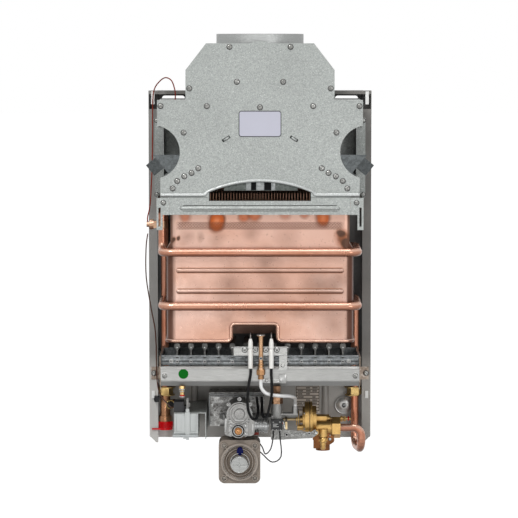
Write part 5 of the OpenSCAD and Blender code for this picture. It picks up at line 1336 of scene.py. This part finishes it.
    def build(self) -> None:
        """Makes every piece of the hood's dress."""
        self.sight()
        self.hem()
        self.rib()
        self.label()
        self.tabs()


def on_ring(middle: Pair, radius: float, angle: float) -> Pair:
    """Returns the place at an angle on a circle, as two coordinates in millimetres."""
    return middle[0] + radius * cos(angle), middle[1] + radius * sin(angle)


def hexagon(bm: Shape, at: Point, normal: Point, radius: float, height: float,
            roll: float = 0.0) -> None:
    """Adds a hexagon nut with chamfered corners, its seat at a point and its corners at a radius."""
    flat = radius * 0.88
    profile = [(0.0, height), (flat, height), (radius, height - 0.1 * radius), (radius, 0.1 * radius),
               (flat, 0.0), (0.0, 0.0)]
    turned(bm, profile, 6, facing(at, normal, roll))


def ring(bm: Shape, at: Point, normal: Point, outer: float, inner: float,
         height: float) -> None:
    """Adds a turned ring with rounded edges, its seat at a point."""
    soft = min(0.35 * height, 0.3 * (outer - inner))
    profile = [(inner, 0.0), (outer, 0.0), (outer, height - soft), (outer - soft, height),
               (inner + soft, height), (inner, height - soft), (inner, 0.0)]
    turned(bm, profile, 36, facing(at, normal))


def dome(bm: Shape, at: Point, normal: Point, radius: float, height: float) -> None:
    """Adds a shallow dome, its seat at a point."""
    profile = [(radius * sin(radians(a)), height * cos(radians(a)))
               for a in range(0, 91, 10)]
    turned(bm, [(0.0, height), *profile[1:], (0.0, 0.0)], 36, facing(at, normal))


@dataclass
class BurnerDress:
    """The knobs, rings, nuts, dot and edges at the burner and its pilot.

    Attributes:
        forge: what makes the pieces.
        bar_y: where the electrode strip's face lies.
        pilot: the pilot tube's axis as X and Y.
        pitch: the burner blades' spacing.
        blades: how many blades lie to each side of the middle one.
        knob_x: where the strip's knobs lie.
        nipple: the test nipple's axis as X and Y.
        tube_r: the pilot tube's radius.
        tube_line: the points that the pilot tube follows.
    """

    forge: Forge
    bar_y: float = -165.2
    pilot: Pair = (1.3, -169.0)
    pitch: float = 20.0
    blades: int = 6
    knob_x: tuple[float, ...] = (-22.1, -6.8, 8.4, 24.3)
    nipple: Pair = (-112.6, -156.0)
    tube_r: float = 2.65
    tube_line: tuple[Point, ...] = (
        (1.3, -169.0, -399.0), (1.3, -169.0, -408.0), (3.2, -168.6, -414.5), (9.0, -167.6, -420.5),
        (18.0, -166.4, -423.2), (31.0, -160.0, -425.2), (42.0, -149.0, -427.2), (48.6, -136.0, -430.4),
        (51.0, -122.0, -434.4), (51.5, -109.0, -439.4), (51.5, -101.0, -444.0), (51.5, -100.0, -449.0))

    def knobs(self) -> None:
        """Makes the strip's round knobs and its rolled edges, with dark rings and slots of painted shade at
        the knobs.
        """
        bm = bmesh.new()
        for x in self.knob_x:
            ring(bm, (x, self.bar_y, -357.6), FRONT, 3.4, 1.5, 1.5)
            dome(bm, (x, self.bar_y - 0.6, -357.6), FRONT, 1.7, 1.5)
        for z in (-353.9, -365.6):
            swept(bm, [(-38.0, self.bar_y, z), (39.0, self.bar_y, z)], half_round(1.7, 0.7, 6))
        self.forge.piece("strip_knobs", bm, "turned_steel", slot="plate_steel")
        # Painted shade: a dark ring round each knob and a dark slot across it.
        dark = bmesh.new()
        for x in self.knob_x:
            ring(dark, (x, self.bar_y, -357.6), FRONT, 4.2, 3.2, 0.3)
            plate(dark, (0.6, 0.5, 2.0), (x, self.bar_y - 2.0, -357.6), 0.0,
                  Matrix.Rotation(radians(x * 7), 4, "Y"))
        self.forge.piece("knob_gap_shades", dark, "painted_gap_shade", slot="plate_steel")

    def pilot_parts(self) -> None:
        """Makes the pilot's nut, collars, air hole and target disc."""
        x, y = self.pilot
        bm = bmesh.new()
        hexagon(bm, (x, y, -393.7), UP, 6.5, 8.0, 15.0)
        for z, r, h in ((-399.6, 4.5, 2.4), (-396.8, 4.1, 2.6), (-382.2, 4.4, 1.8), (-379.0, 4.0, 2.2),
                        (-375.2, 3.8, 1.2)):
            ring(bm, (x, y, z), UP, r, 2.4, h)
        self.forge.piece("pilot_nut_rings", bm, "bronze", slot="pilot_brass")
        rim = bmesh.new()
        ring(rim, (x, y - 2.9, -369.2), FRONT, 2.2, 1.3, 0.8)
        turned(rim, [(2.5, -0.3), (6.3, -0.3), (6.5, 0.0), (6.3, 0.4), (2.5, 0.6), (2.5, -0.3)], 40,
               facing((x, y, -335.9), UP))
        self.forge.piece("pilot_rim", rim, "turned_steel", slot="pilot_brass")
        # Painted shade: a dark disc stands in for the air hole.
        hole = bmesh.new()
        turned(hole, [(0.0, 0.25), (1.35, 0.25), (1.35, 0.0), (0.0, 0.0)], 20, facing((x, y - 3.1, -369.2)))
        self.forge.piece("pilot_hole", hole, "painted_gap_shade", slot="pilot_brass")

    def tube(self) -> None:
        """Makes the pilot's smooth silver tube, from its nut to the valve."""
        line = Harness.smooth(self.tube_line, 7)
        bm = bmesh.new()
        rings = []
        side = Vector((0.0, 1.0, 0.0))
        for i, at in enumerate(line):
            along = (line[min(i + 1, len(line) - 1)] - line[max(i - 1, 0)]).normalized()
            side = (side - along * side.dot(along)).normalized()
            over = along.cross(side)
            rings.append([at + (side * cos(a) + over * sin(a)) * self.tube_r * MM
                          for a in (radians(22.5 * k) for k in range(16))])
        skinned(bm, rings)
        obj = self.forge.piece("pilot_tube_smooth", bm, "pilot_tube", slot="pilot_alu", smooth=60.0)
        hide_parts("pilot_tube")

    def marks(self) -> None:
        """Makes the green dot and the test nipple's red tip and rings."""
        dot = bmesh.new()
        turned(dot, [(0.0, 0.25), (7.0, 0.25), (7.2, 0.0), (0.0, 0.0)], 48,
               facing((-110.6, -164.0, -392.8)))
        self.forge.piece("green_dot", dot, "dot_green", slot="manifold_alu")
        tip = bmesh.new()
        turned(tip, [(0.0, 4.8), (2.0, 4.6), (3.2, 3.4), (3.3, 0.6), (2.9, 0.0), (0.0, 0.0)], 24,
               facing((*self.nipple, -423.6), DOWN))
        self.forge.piece("nipple_tip", tip, "gloss_red", slot="nipple_brass")
        cap = bmesh.new()
        for z, outer, inner, height in ((-415.2, 4.9, 3.5, 2.0), (-418.6, 4.3, 3.3, 1.2),
                                        (-426.0, 4.3, 3.4, 1.6)):
            ring(cap, (*self.nipple, z), DOWN, outer, inner, height)
        self.forge.piece("nipple_rings", cap, "turned_steel", slot="nipple_brass")

    def tray(self) -> None:
        """Makes the tray's rolled lips, its end screws and the ring at each blade."""
        bm = bmesh.new()
        for z, width, proud in ((-369.2, 2.6, 1.3), (-374.4, 5.2, 1.7), (-380.6, 2.4, 1.2)):
            swept(bm, [(-142.4, -148.2, z), (142.4, -148.2, z)], half_round(width, proud, 8))
        self.forge.piece("tray_lips", bm, "burner_tray", slot="tray_steel", smooth=60.0)
        rings = bmesh.new()
        for i in range(-self.blades, self.blades + 1):
            if abs(i) > 1:
                ring(rings, (i * self.pitch, -149.7, -376.6), FRONT, 2.4, 1.3, 0.9)
                dome(rings, (i * self.pitch, -147.4, -356.6), FRONT, 1.6, 1.1)
        for s in (-1, 1):
            ring(rings, (s * 128.5, -149.6, -376.0), FRONT, 3.3, 1.5, 1.4)
            dome(rings, (s * 128.5, -149.6, -376.0), FRONT, 1.7, 1.9)
            ring(rings, (s * 137.5, -164.0, -395.5), FRONT, 5.2, 3.9, 0.6)
        self.forge.piece("tray_rings", rings, "turned_steel", slot="tray_steel")

    def manifold(self) -> None:
        """Makes the manifold's drawn edge lines and the bent foot under the strip."""
        bm = bmesh.new()
        for z, width, proud in ((-385.6, 1.0, 0.35), (-402.4, 1.1, 0.4)):
            swept(bm, [(-143.2, -164.0, z), (143.2, -164.0, z)], half_round(width, proud, 6))
        self.forge.piece("manifold_lines", bm, "gas_manifold", slot="manifold_alu", smooth=60.0)
        foot = bmesh.new()
        plate(foot, (10.4, 1.0, 13.0), (32.6, -166.2, -399.6), 0.4)
        plate(foot, (23.0, 1.1, 3.2), (17.5, -166.0, -404.4), 0.5)
        for x in (9.5, 30.5):
            dome(foot, (x, -166.0, -402.4), FRONT, 2.6, 1.6)
        self.forge.piece("strip_foot", foot, "turned_steel", slot="plate_steel")

    def hem(self) -> None:
        """Makes the bead along the shell's rolled hem and over the notch, in a paler copper that paints its
        highlight.
        """
        low, high, y, bend = -346.6, -321.6, -150.2, 5.0
        left, right = -42.0, 26.0
        path = [(-128.0, y, low)]
        for x, start, end in ((left, low, high), (right, high, low)):
            up = 1 if end > start else -1
            for k in range(5):
                a = radians(22.5 * k)
                path.append((x - bend + bend * sin(a), y, start + up * bend * (1 - cos(a))))
            for k in range(5):
                a = radians(22.5 * k)
                path.append((x + bend * (1 - cos(a)), y, end - up * bend * (1 - sin(a))))
        path.append((128.0, y, low))
        bm = bmesh.new()
        swept(bm, path, half_round(2.6, 1.1, 8))
        self.forge.piece("shell_hem_bead", bm, "painted_highlight_copper", slot="shell_copper", smooth=60.0)

    def build(self) -> None:
        """Makes every piece at the burner."""
        self.hem()
        self.knobs()
        self.pilot_parts()
        self.tube()
        self.marks()
        self.tray()
        self.manifold()


@dataclass
class GasDress:
    """The bosses, ribs, screws and marks on the gas valve and the regulator.

    Attributes:
        forge: what makes the pieces.
        spindle: the gas spindle's axis as X and Z.
        cover: where the valve cover's face lies.
        lugs: the cover's screw lugs, as X and Z from the spindle.
        reg: the regulator's middle as X and Z.
        reg_face: where the regulator cover's face lies.
        cap_face: where the regulator cap's face lies.
    """

    forge: Forge
    spindle: Pair = (-31.7, -481.5)
    cover: float = -127.0
    lugs: tuple[Pair, ...] = ((-10.5, 7.0), (10.5, 7.0), (-10.8, -5.0), (10.8, -5.0))
    reg: Pair = (-30.0, -528.0)
    reg_face: float = -123.0
    cap_face: float = -149.0

    def valve(self) -> None:
        """Makes the valve's cast bosses, gap lines of painted shade, screws, side cap, spindle nut and
        seals.
        """
        x, z = self.spindle
        cast = bmesh.new()
        ring(cast, (x, self.cover, z), FRONT, 7.4, 5.6, 2.4)
        ring(cast, (x, self.cover, z), FRONT, 10.4, 9.0, 1.5)
        for dx, dz in self.lugs:
            ring(cast, (x + dx, self.cover + 2.6, z + dz), FRONT, 3.6, 1.6, 2.8)
        for i in range(5):
            plate(cast, (1.6, 2.2, 9.0), (x - 8 + 4 * i, -120.9, -463.0), 0.5)
        plate(cast, (30.0, 2.4, 3.4), (x + 1, -121.0, -467.2), 0.8)
        plate(cast, (3.6, 3.0, 20.0), (-50.2, -120.6, -474.0), 0.9)
        plate(cast, (3.4, 3.0, 14.0), (-11.0, -120.6, -479.0), 0.9)
        self.forge.piece("valve_bosses", cast, "bright_cast", slot="valve_cast")
        # Painted shade: dark rings and lines in the gaps round the cover's bosses.
        gaps = bmesh.new()
        ring(gaps, (x, self.cover, z), FRONT, 9.0, 7.4, 0.3)
        ring(gaps, (x, self.cover, z), FRONT, 5.6, 4.6, 0.3)
        for line_z in (-461.0, -465.4, -469.2):
            plate(gaps, (30.0, 0.5, 0.7), (x + 1, -120.9, line_z))
        self.forge.piece("valve_gaps", gaps, "painted_gap_shade", slot="valve_cast")
        bright = bmesh.new()
        for dx, dz in self.lugs:
            dome(bright, (x + dx, self.cover - 0.2, z + dz), FRONT, 2.3, 1.4)
        profile = [(0.0, 5.4), (5.2, 5.4), (6.0, 4.8), (6.4, 1.4), (7.4, 1.0), (7.4, 0.0), (0.0, 0.0)]
        turned(bright, profile, 36, facing((-52.4, -103.0, -464.0), (-0.75, -0.66, 0.0)))
        for k in range(5):
            ring(bright, (-6.0 + 4.0 * k, -101.0, -477.0), RIGHT, 11.6, 10.2, 1.4)
        self.forge.piece("valve_screws", bright, "turned_steel", slot="valve_cast")
        core = bmesh.new()
        hexagon(core, (x, self.cover - 1.0, z), FRONT, 4.5, 4.2, 20.0)
        dome(core, (x, -135.8, z), FRONT, 2.6, 1.0)
        self.forge.piece("spindle_nut", core, "gas_spindle", body="gas_spindle", slot="spindle_brass")
        dabs = bmesh.new()
        dome(dabs, (-17.6, -120.0, -459.5), FRONT, 2.6, 1.2)
        self.forge.piece("valve_seals", dabs, "gloss_red", slot="valve_cast")
        foot = bmesh.new()
        plate(foot, (8.6, 1.2, 4.0), (-6.0, -112.6, -487.6), 0.4)
        self.forge.piece("valve_foot_seal", foot, "seal_brown", slot="valve_cast")

    def crown(self) -> None:
        """Makes the lugs of the dome over the valve, with their screws."""
        bm = bmesh.new()
        middle = (-30.0, -450.6)
        for angle in (25, 90, 155, 205, 335):
            a = radians(angle)
            at = (middle[0] + 17.4 * cos(a), -119.8, middle[1] + 13.8 * sin(a) + 1.5)
            ring(bm, at, FRONT, 3.2, 1.3, 2.0)
            dome(bm, (at[0], at[1] - 1.0, at[2]), FRONT, 1.7, 1.6)
        self.forge.piece("dome_lugs", bm, "bright_cast", slot="valve_cast")

    def regulator(self) -> None:
        """Makes the regulator's rings, ribs, screws and blue seal, and its cap's knurl and rim."""
        x, z = self.reg
        ribs = bmesh.new()
        ring(ribs, (x, self.reg_face + 0.3, z), FRONT, 27.6, 24.2, 3.0)
        ring(ribs, (x, self.reg_face + 0.3, z), FRONT, 20.4, 19.0, 1.4)
        for sx, sz in ((-1, -1), (-1, 1), (1, -1), (1, 1)):
            turn = Matrix.Rotation(radians(-45 * sx * sz), 4, "Y")
            plate(ribs, (8.5, 2.8, 1.6), (x + sx * 20.6, self.reg_face, z + sz * 21.6), 0.5, turn)
            ring(ribs, (x + sx * 22.5, self.reg_face + 2.5, z + sz * 24.0), FRONT, 4.6, 3.0, 2.6)
        for i in range(36):
            a = radians(10 * i + 5)
            if i % 9 not in (0, 8):
                turn = Matrix.Rotation(-a, 4, "Y")
                mark_x, mark_z = on_ring(self.reg, 22.9, a)
                plate(ribs, (1.4, 0.8, 1.0), (mark_x, self.reg_face - 0.1, mark_z), 0.2, turn)
        # The ribs take a paler taupe than the cover: a painted highlight on the raised ring and ribs.
        self.forge.piece("regulator_ribs", ribs, "painted_highlight_taupe", slot="regulator_cover_taupe")
        screws = bmesh.new()
        for sx in (-1, 1):
            for sz in (-1, 1):
                pan_head(screws, (x + sx * 22.5, self.reg_face, z + sz * 24.0), FRONT, 3.0, 1.9)
        self.forge.piece("regulator_screws", screws, "screw_taupe", slot="small_screw_zinc")
        cap = bmesh.new()
        for i in range(40):
            a = radians(9 * i)
            turn = Matrix.Rotation(-a, 4, "Y")
            ridge_x, ridge_z = on_ring(self.reg, 12.0, a)
            plate(cap, (0.9, 8.0, 0.9), (ridge_x, self.cap_face + 6.0, ridge_z), 0.15, turn)
        turned(cap, [(0.0, 0.5), (1.0, 0.5), (1.4, 0.2), (1.4, 0.0), (0.0, 0.0)], 24,
               facing((x, self.cap_face, z)))
        self.forge.piece("cap_knurl", cap, "regulator_cap", body="regulator_cap", slot="cap_alu")
        rim = bmesh.new()
        ring(rim, (x, self.cap_face + 0.4, z), FRONT, 11.9, 10.9, 0.9)
        self.forge.piece("cap_rim", rim, "turned_steel", body="regulator_cap", slot="cap_alu")
        dot = bmesh.new()
        profile = [(0.0, 15.2), (2.6, 15.0), (4.3, 14.4), (4.9, 13.4), (4.9, 11.0), (3.6, 8.5), (3.2, 1.4),
                   (4.2, 0.0), (0.0, 0.0)]
        tall = Matrix.Diagonal((1.0, 1.22, 1.0, 1.0))
        turned(dot, profile, 36, facing((x + 0.7, self.reg_face, -510.4)) @ tall)
        self.forge.piece("blue_seal", dot, "dot_blue", slot="regulator_cover_taupe")
        # A steel collar under the cap, and a thin bright steel line at the raised ring's inner foot as a
        # painted highlight.
        silver = bmesh.new()
        ring(silver, (x + 0.6, -136.8, z + 1.4), FRONT, 14.2, 13.2, 1.0)
        ring(silver, (x, self.reg_face + 0.1, z), FRONT, 24.4, 23.8, 1.2)
        self.forge.piece("tower_rings", silver, "turned_steel", slot="regulator_cover_taupe")
        # Painted shade: a dark ring in the gap round the collar.
        gap = bmesh.new()
        ring(gap, (x, -136.9, z), FRONT, 13.1, 12.6, 0.4)
        self.forge.piece("tower_gap", gap, "painted_gap_shade", slot="regulator_cover_taupe")

    def build(self) -> None:
        """Makes every piece at the gas valve."""
        self.valve()
        self.crown()
        self.regulator()


@dataclass
class WaterDress:
    """The rings, nuts, dish, cap ribs and marks at the water side.

    Attributes:
        forge: what makes the pieces.
        axis: the diaphragm's axis as Y and Z.
        stem: the water spindle's axis as Y and Z.
        drain_at: the drain's axis as X and Y.
        drain_y: where the back of the drain's brown plate lies.
        dish_at: where the dished washer sits.
        cap_at: the red cap's axis as X and Y.
    """

    forge: Forge
    axis: Pair = (-80.0, -471.0)
    stem: Pair = (-64.0, -472.5)
    drain_at: Pair = (93.0, -93.0)
    drain_y: float = -84.2
    dish_at: Point = (125.8, -17.0, -459.0)
    cap_at: Pair = (-141.5, -27.0)

    def valve(self) -> None:
        """Makes the valve's rims, bolts, collars and red stem band."""
        y, z = self.axis
        brass = bmesh.new()
        for x, r in ((56.4, 13.0), (71.4, 26.6), (74.4, 26.6)):
            ring(brass, (x, y, z), RIGHT, r, r - 2.4, 1.4)
        ring(brass, (54.9, y, z), LEFT, 9.5, 6.0, 1.6)
        dome(brass, (54.9, y, z), LEFT, 5.4, 1.6)
        for i in range(8):
            a = radians(45 * i + 22)
            hexagon(brass, (74.9, *on_ring(self.axis, 22.2, a)), RIGHT, 2.9, 2.4)
        ring(brass, (104.2, y, -483.5), RIGHT, 12.2, 10.0, 1.8)
        ring(brass, (119.0, *self.stem), RIGHT, 4.6, 2.5, 3.6)
        hexagon(brass, (123.6, *self.stem), RIGHT, 4.4, 3.2)
        self.forge.piece("valve_rims", brass, "water_valve_body", slot="water_brass")
        band = bmesh.new()
        ring(band, (130.0, *self.stem), RIGHT, 3.2, 2.4, 2.0)
        self.forge.piece("stem_band", band, "gloss_red", slot="water_brass")

    def drain(self) -> None:
        """Makes the drain's brown plate and screw, and its stepped spigot, which turns."""
        outline = ((78.8, -488.0), (107.5, -488.0), (109.9, -501.5), (108.6, -504.5), (101.0, -509.3),
                   (96.5, -510.0), (95.6, -513.6), (78.8, -513.6))
        brown = bmesh.new()
        corners = [brown.verts.new(Vector((x, self.drain_y, z)) * MM) for x, z in outline]
        face = brown.faces.new(corners)
        moved = bmesh.ops.extrude_face_region(brown, geom=[face])["geom"]
        bmesh.ops.translate(brown, verts=[v for v in moved if isinstance(v, bmesh.types.BMVert)],
                            vec=(0.0, -2.6 * MM, 0.0))
        bmesh.ops.bevel(brown, geom=brown.edges[:], offset=0.5 * MM, segments=2, profile=0.5,
                        affect="EDGES", material=-1)
        self.forge.piece("drain_plate", brown, "cold_inlet", slot="inlet_brown")
        bright = bmesh.new()
        pan_head(bright, (103.0, -86.8, -499.6), FRONT, 2.4, 1.6)
        dome(bright, (103.4, -86.8, -494.2), FRONT, 1.3, 1.0)
        self.forge.piece("drain_screw", bright, "turned_steel", slot="inlet_brown")
        spigot = bmesh.new()
        profile = [(0.0, 26.0), (4.6, 26.0), (4.8, 18.6), (5.6, 18.0), (6.2, 17.0), (6.2, 11.6),
                   (5.4, 10.8), (4.4, 10.4), (4.4, 6.4), (3.7, 5.6), (3.7, 1.8), (3.0, 0.4), (2.2, 0.0),
                   (0.0, 0.0)]
        turned(spigot, profile, 40, facing((*self.drain_at, -514.2), UP))
        obj = self.forge.piece("drain_spigot", spigot, "drain_plug", body="drain_plug", slot="drain_brass")
        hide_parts("drain_plug")
        bm = bmesh.new()
        for i in range(24):
            a = radians(15 * i)
            turn = Matrix.Rotation(a, 4, "Z")
            plate(bm, (0.8, 0.9, 4.0), (*on_ring(self.drain_at, 6.1, a), -500.0), 0.15, turn)
        self.forge.piece("drain_knurl", bm, "drain_plug", body="drain_plug", slot="drain_brass")

    def dish(self) -> None:
        """Makes the bright dished washer's crown and the dark screw in it."""
        x, y, z = self.dish_at
        bm = bmesh.new()
        profile = [(2.6, 3.0), (4.0, 3.3), (6.5, 3.0), (9.0, 2.1), (11.0, 1.1), (12.3, 0.5), (13.0, 0.7),
                   (13.3, 0.2), (13.0, -0.3), (2.6, -0.3), (2.6, 3.0)]
        turned(bm, profile, 56, facing(self.dish_at))
        self.forge.piece("dish_crown", bm, "dish_bright", slot="washer_bright")
        screw = bmesh.new()
        pan_head(screw, (x, y - 2.4, z), FRONT, 3.4, 2.0)
        obj = self.forge.piece("dish_screw", screw, "screw_dark", slot="washer_bright")
        slot = bmesh.new()
        plate(slot, (8.0, 2.0, 1.0), (x, y - 4.6, z), turn=Matrix.Rotation(0.6, 4, "Y"))
        cut(obj, slot)

    def cap(self) -> None:
        """Makes the red cap's grip ribs, which move with it."""
        bm = bmesh.new()
        for i in range(28):
            a = radians(360 * i / 28)
            turn = Matrix.Rotation(a, 4, "Z")
            plate(bm, (0.7, 1.0, 7.5), (*on_ring(self.cap_at, 10.9, a), -486.0), 0.2, turn)
        self.forge.piece("cap_ribs", bm, "red_cap", body="red_cap", slot="cap_red")

    def nuts(self) -> None:
        """Makes the wider collars of the union nuts and the rings under them."""
        bm = bmesh.new()
        for x in (-138.0, 138.0):
            ring(bm, (x, -27.0, -442.4), UP, 11.2, 6.6, 2.0)
            ring(bm, (x, -27.0, -430.4), UP, 12.2, 6.6, 1.6)
        self.forge.piece("nut_collars", bm, "union_nuts", slot="nut_brass")

    def build(self) -> None:
        """Makes every piece at the water side."""
        self.valve()
        self.drain()
        self.dish()
        self.cap()
        self.nuts()


@dataclass
class BackDress:
    """The ruled label, the battery box's ridges, the plugs and the switch's marks.

    Attributes:
        forge: what makes the pieces.
        box_y: where the battery box's face lies.
        label_x: where the label's middle lies.
        link_at: the link bracket's rivets and holes as X and Z.
    """

    forge: Forge
    box_y: float = -146.6
    label_x: float = 71.6
    link_at: tuple[Pair, ...] = (
        (39.0, -489.5), (47.0, -490.5), (55.5, -489.0), (64.0, -490.0), (72.0, -487.5))

    def label(self) -> None:
        """Makes the ruled label on the panel, without any lettering."""
        sheet = bmesh.new()
        plate(sheet, (36.2, 0.4, 44.0), (self.label_x, -13.3, -450.0), 0.1)
        self.forge.piece("ruled_label", sheet, "label_taupe", slot="panel_paint")
        lines = bmesh.new()
        for k in range(9):
            z = -431.0 - 4.6 * k
            plate(lines, (34.0, 0.3, 0.9), (self.label_x, -13.6, z))
            bars = ((2.0, 9.0 - k % 3), (14.5, 6.0 + k % 2), (24.0, 8.0 - k % 4))
            for j, (start, wide) in enumerate(bars):
                if (k + j) % 4:
                    x = self.label_x - 17.1 + start + wide / 2
                    plate(lines, (wide, 0.3, 1.5), (x, -13.6, z - 2.4))
        for side in (-17.0, 17.0):
            plate(lines, (0.9, 0.3, 37.0), (self.label_x + side, -13.6, -449.4))
        self.forge.piece("label_rules", lines, "rule_dark", slot="panel_paint")

    def battery(self) -> None:
        """Makes the battery box's ridge, side ribs and lid latch."""
        bm = bmesh.new()
        plate(bm, (7.4, 2.2, 33.0), (-105.2, self.box_y - 0.6, -467.5), 0.8)
        plate(bm, (5.2, 1.6, 7.0), (-105.2, self.box_y + 0.6, -449.6), 0.6)
        for x in (-122.6, -92.6):
            plate(bm, (1.8, 1.2, 27.0), (x, self.box_y - 0.1, -468.5), 0.5)
        plate(bm, (34.0, 1.6, 1.8), (-107.5, self.box_y - 0.3, -480.8), 0.6)
        self.forge.piece("box_ridges", bm, "battery_box", slot="box_grey")
        lid = bmesh.new()
        plate(lid, (35.0, 1.8, 2.0), (-108.5, -150.0, -485.2), 0.7)
        plate(lid, (4.4, 3.0, 2.2), (-105.2, -149.6, -490.0), 0.7)
        self.forge.piece("lid_lip", lid, "battery_lid", body="battery_lid", slot="lid_grey")

    def plugs(self) -> None:
        """Makes the plugs at the igniter and the panel's edge, and the sensor's cap and ring."""
        pale = bmesh.new()
        plate(pale, (5.0, 7.0, 6.0), (-104.6, -118.0, -444.0), 0.6)
        plate(pale, (3.4, 1.4, 17.0), (-105.7, -130.0, -441.0), 0.4)
        self.forge.piece("igniter_plug", pale, "plug_grey", slot="igniter_black")
        black = bmesh.new()
        plate(black, (7.5, 5.0, 9.5), (-154.0, -35.4, -447.0), 1.2)
        ring(black, (-154.0, -37.6, -447.0), FRONT, 4.4, 2.2, 2.6)
        turned(black, [(0.0, 4.6), (3.4, 4.4), (4.6, 3.2), (4.8, 0.0), (0.0, 0.0)], 32,
               facing((-132.4, -76.2, -449.5), (0.35, -0.94, 0.0)))
        self.forge.piece("sensor_plugs", black, "micro_switch", slot="wire_black")
        gold = bmesh.new()
        ring(gold, (-132.6, -75.6, -449.5), (0.35, -0.94, 0.0), 6.8, 4.6, 2.0)
        self.forge.piece("sensor_ring", gold, "union_nuts", slot="outlet_brass")

    def switch(self) -> None:
        """Makes the switch's rivets and pale marks, and the link bracket's rivets and dark discs of painted
        shade for its holes.
        """
        bright = bmesh.new()
        for x, z in ((18.8, -480.2), (24.0, -480.6), (29.6, -480.6), (19.4, -468.8), (29.2, -468.8)):
            dome(bright, (x, -126.0, z), FRONT, 1.1, 0.7)
        self.forge.piece("switch_rivets", bright, "turned_steel", slot="switch_black")
        pale = bmesh.new()
        for k, wide in enumerate((7.5, 5.0, 8.5)):
            plate(pale, (wide, 0.2, 0.6), (19.0 + wide / 2, -126.1, -471.6 - 1.9 * k))
        # Painted shade: every other dome on the link bracket is a dark disc standing in for a hole.
        rivets, holes = bmesh.new(), bmesh.new()
        for k, (x, z) in enumerate(self.link_at):
            ring(rivets, (x, -109.6, z), FRONT, 2.6, 1.5, 0.8)
            dome(rivets if k % 2 else holes, (x, -109.7, z), FRONT, 1.7, 0.7)
        swept(rivets, [(24.0, -109.8, -494.6), (78.0, -109.8, -485.6)], half_round(1.6, 0.8, 6))
        self.forge.piece("link_rivets", rivets, "turned_steel", slot="link_zinc")
        self.forge.piece("link_holes", holes, "painted_gap_shade", slot="link_zinc")
        self.forge.piece("switch_marks", pale, "mark_white", slot="switch_black")

    def bracket(self) -> None:
        """Makes the valve bracket's bright ribbed top edge and its rolled rim."""
        bm = bmesh.new()
        for z in (-436.4, -439.4):
            swept(bm, [(-73.5, -62.0, z), (4.5, -62.0, z)], half_round(1.5, 0.8, 6))
        swept(bm, [(-75.0, -62.0, -437.0), (-75.0, -62.0, -483.0)], half_round(1.8, 0.8, 6))
        self.forge.piece("bracket_ribs", bm, "rib_bright", slot="valve_zinc", smooth=60.0)

    def build(self) -> None:
        """Makes every piece at the back and on the left."""
        self.label()
        self.battery()
        self.plugs()
        self.switch()
        self.bracket()


def main() -> None:
    """Builds the studio, the cords, the finishes and the small pieces in order."""
    logging.basicConfig(level=logging.INFO, format="%(message)s")
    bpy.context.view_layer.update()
    paint = Paint(Palette())
    Studio().build()
    Harness(paint).build()
    paint.dress_nodes()
    forge = Forge(paint)
    for dress in (Screws(forge), HoodDress(forge), BurnerDress(forge), GasDress(forge),
                  WaterDress(forge), BackDress(forge)):
        dress.build()


if __name__ == "__main__":
    main()
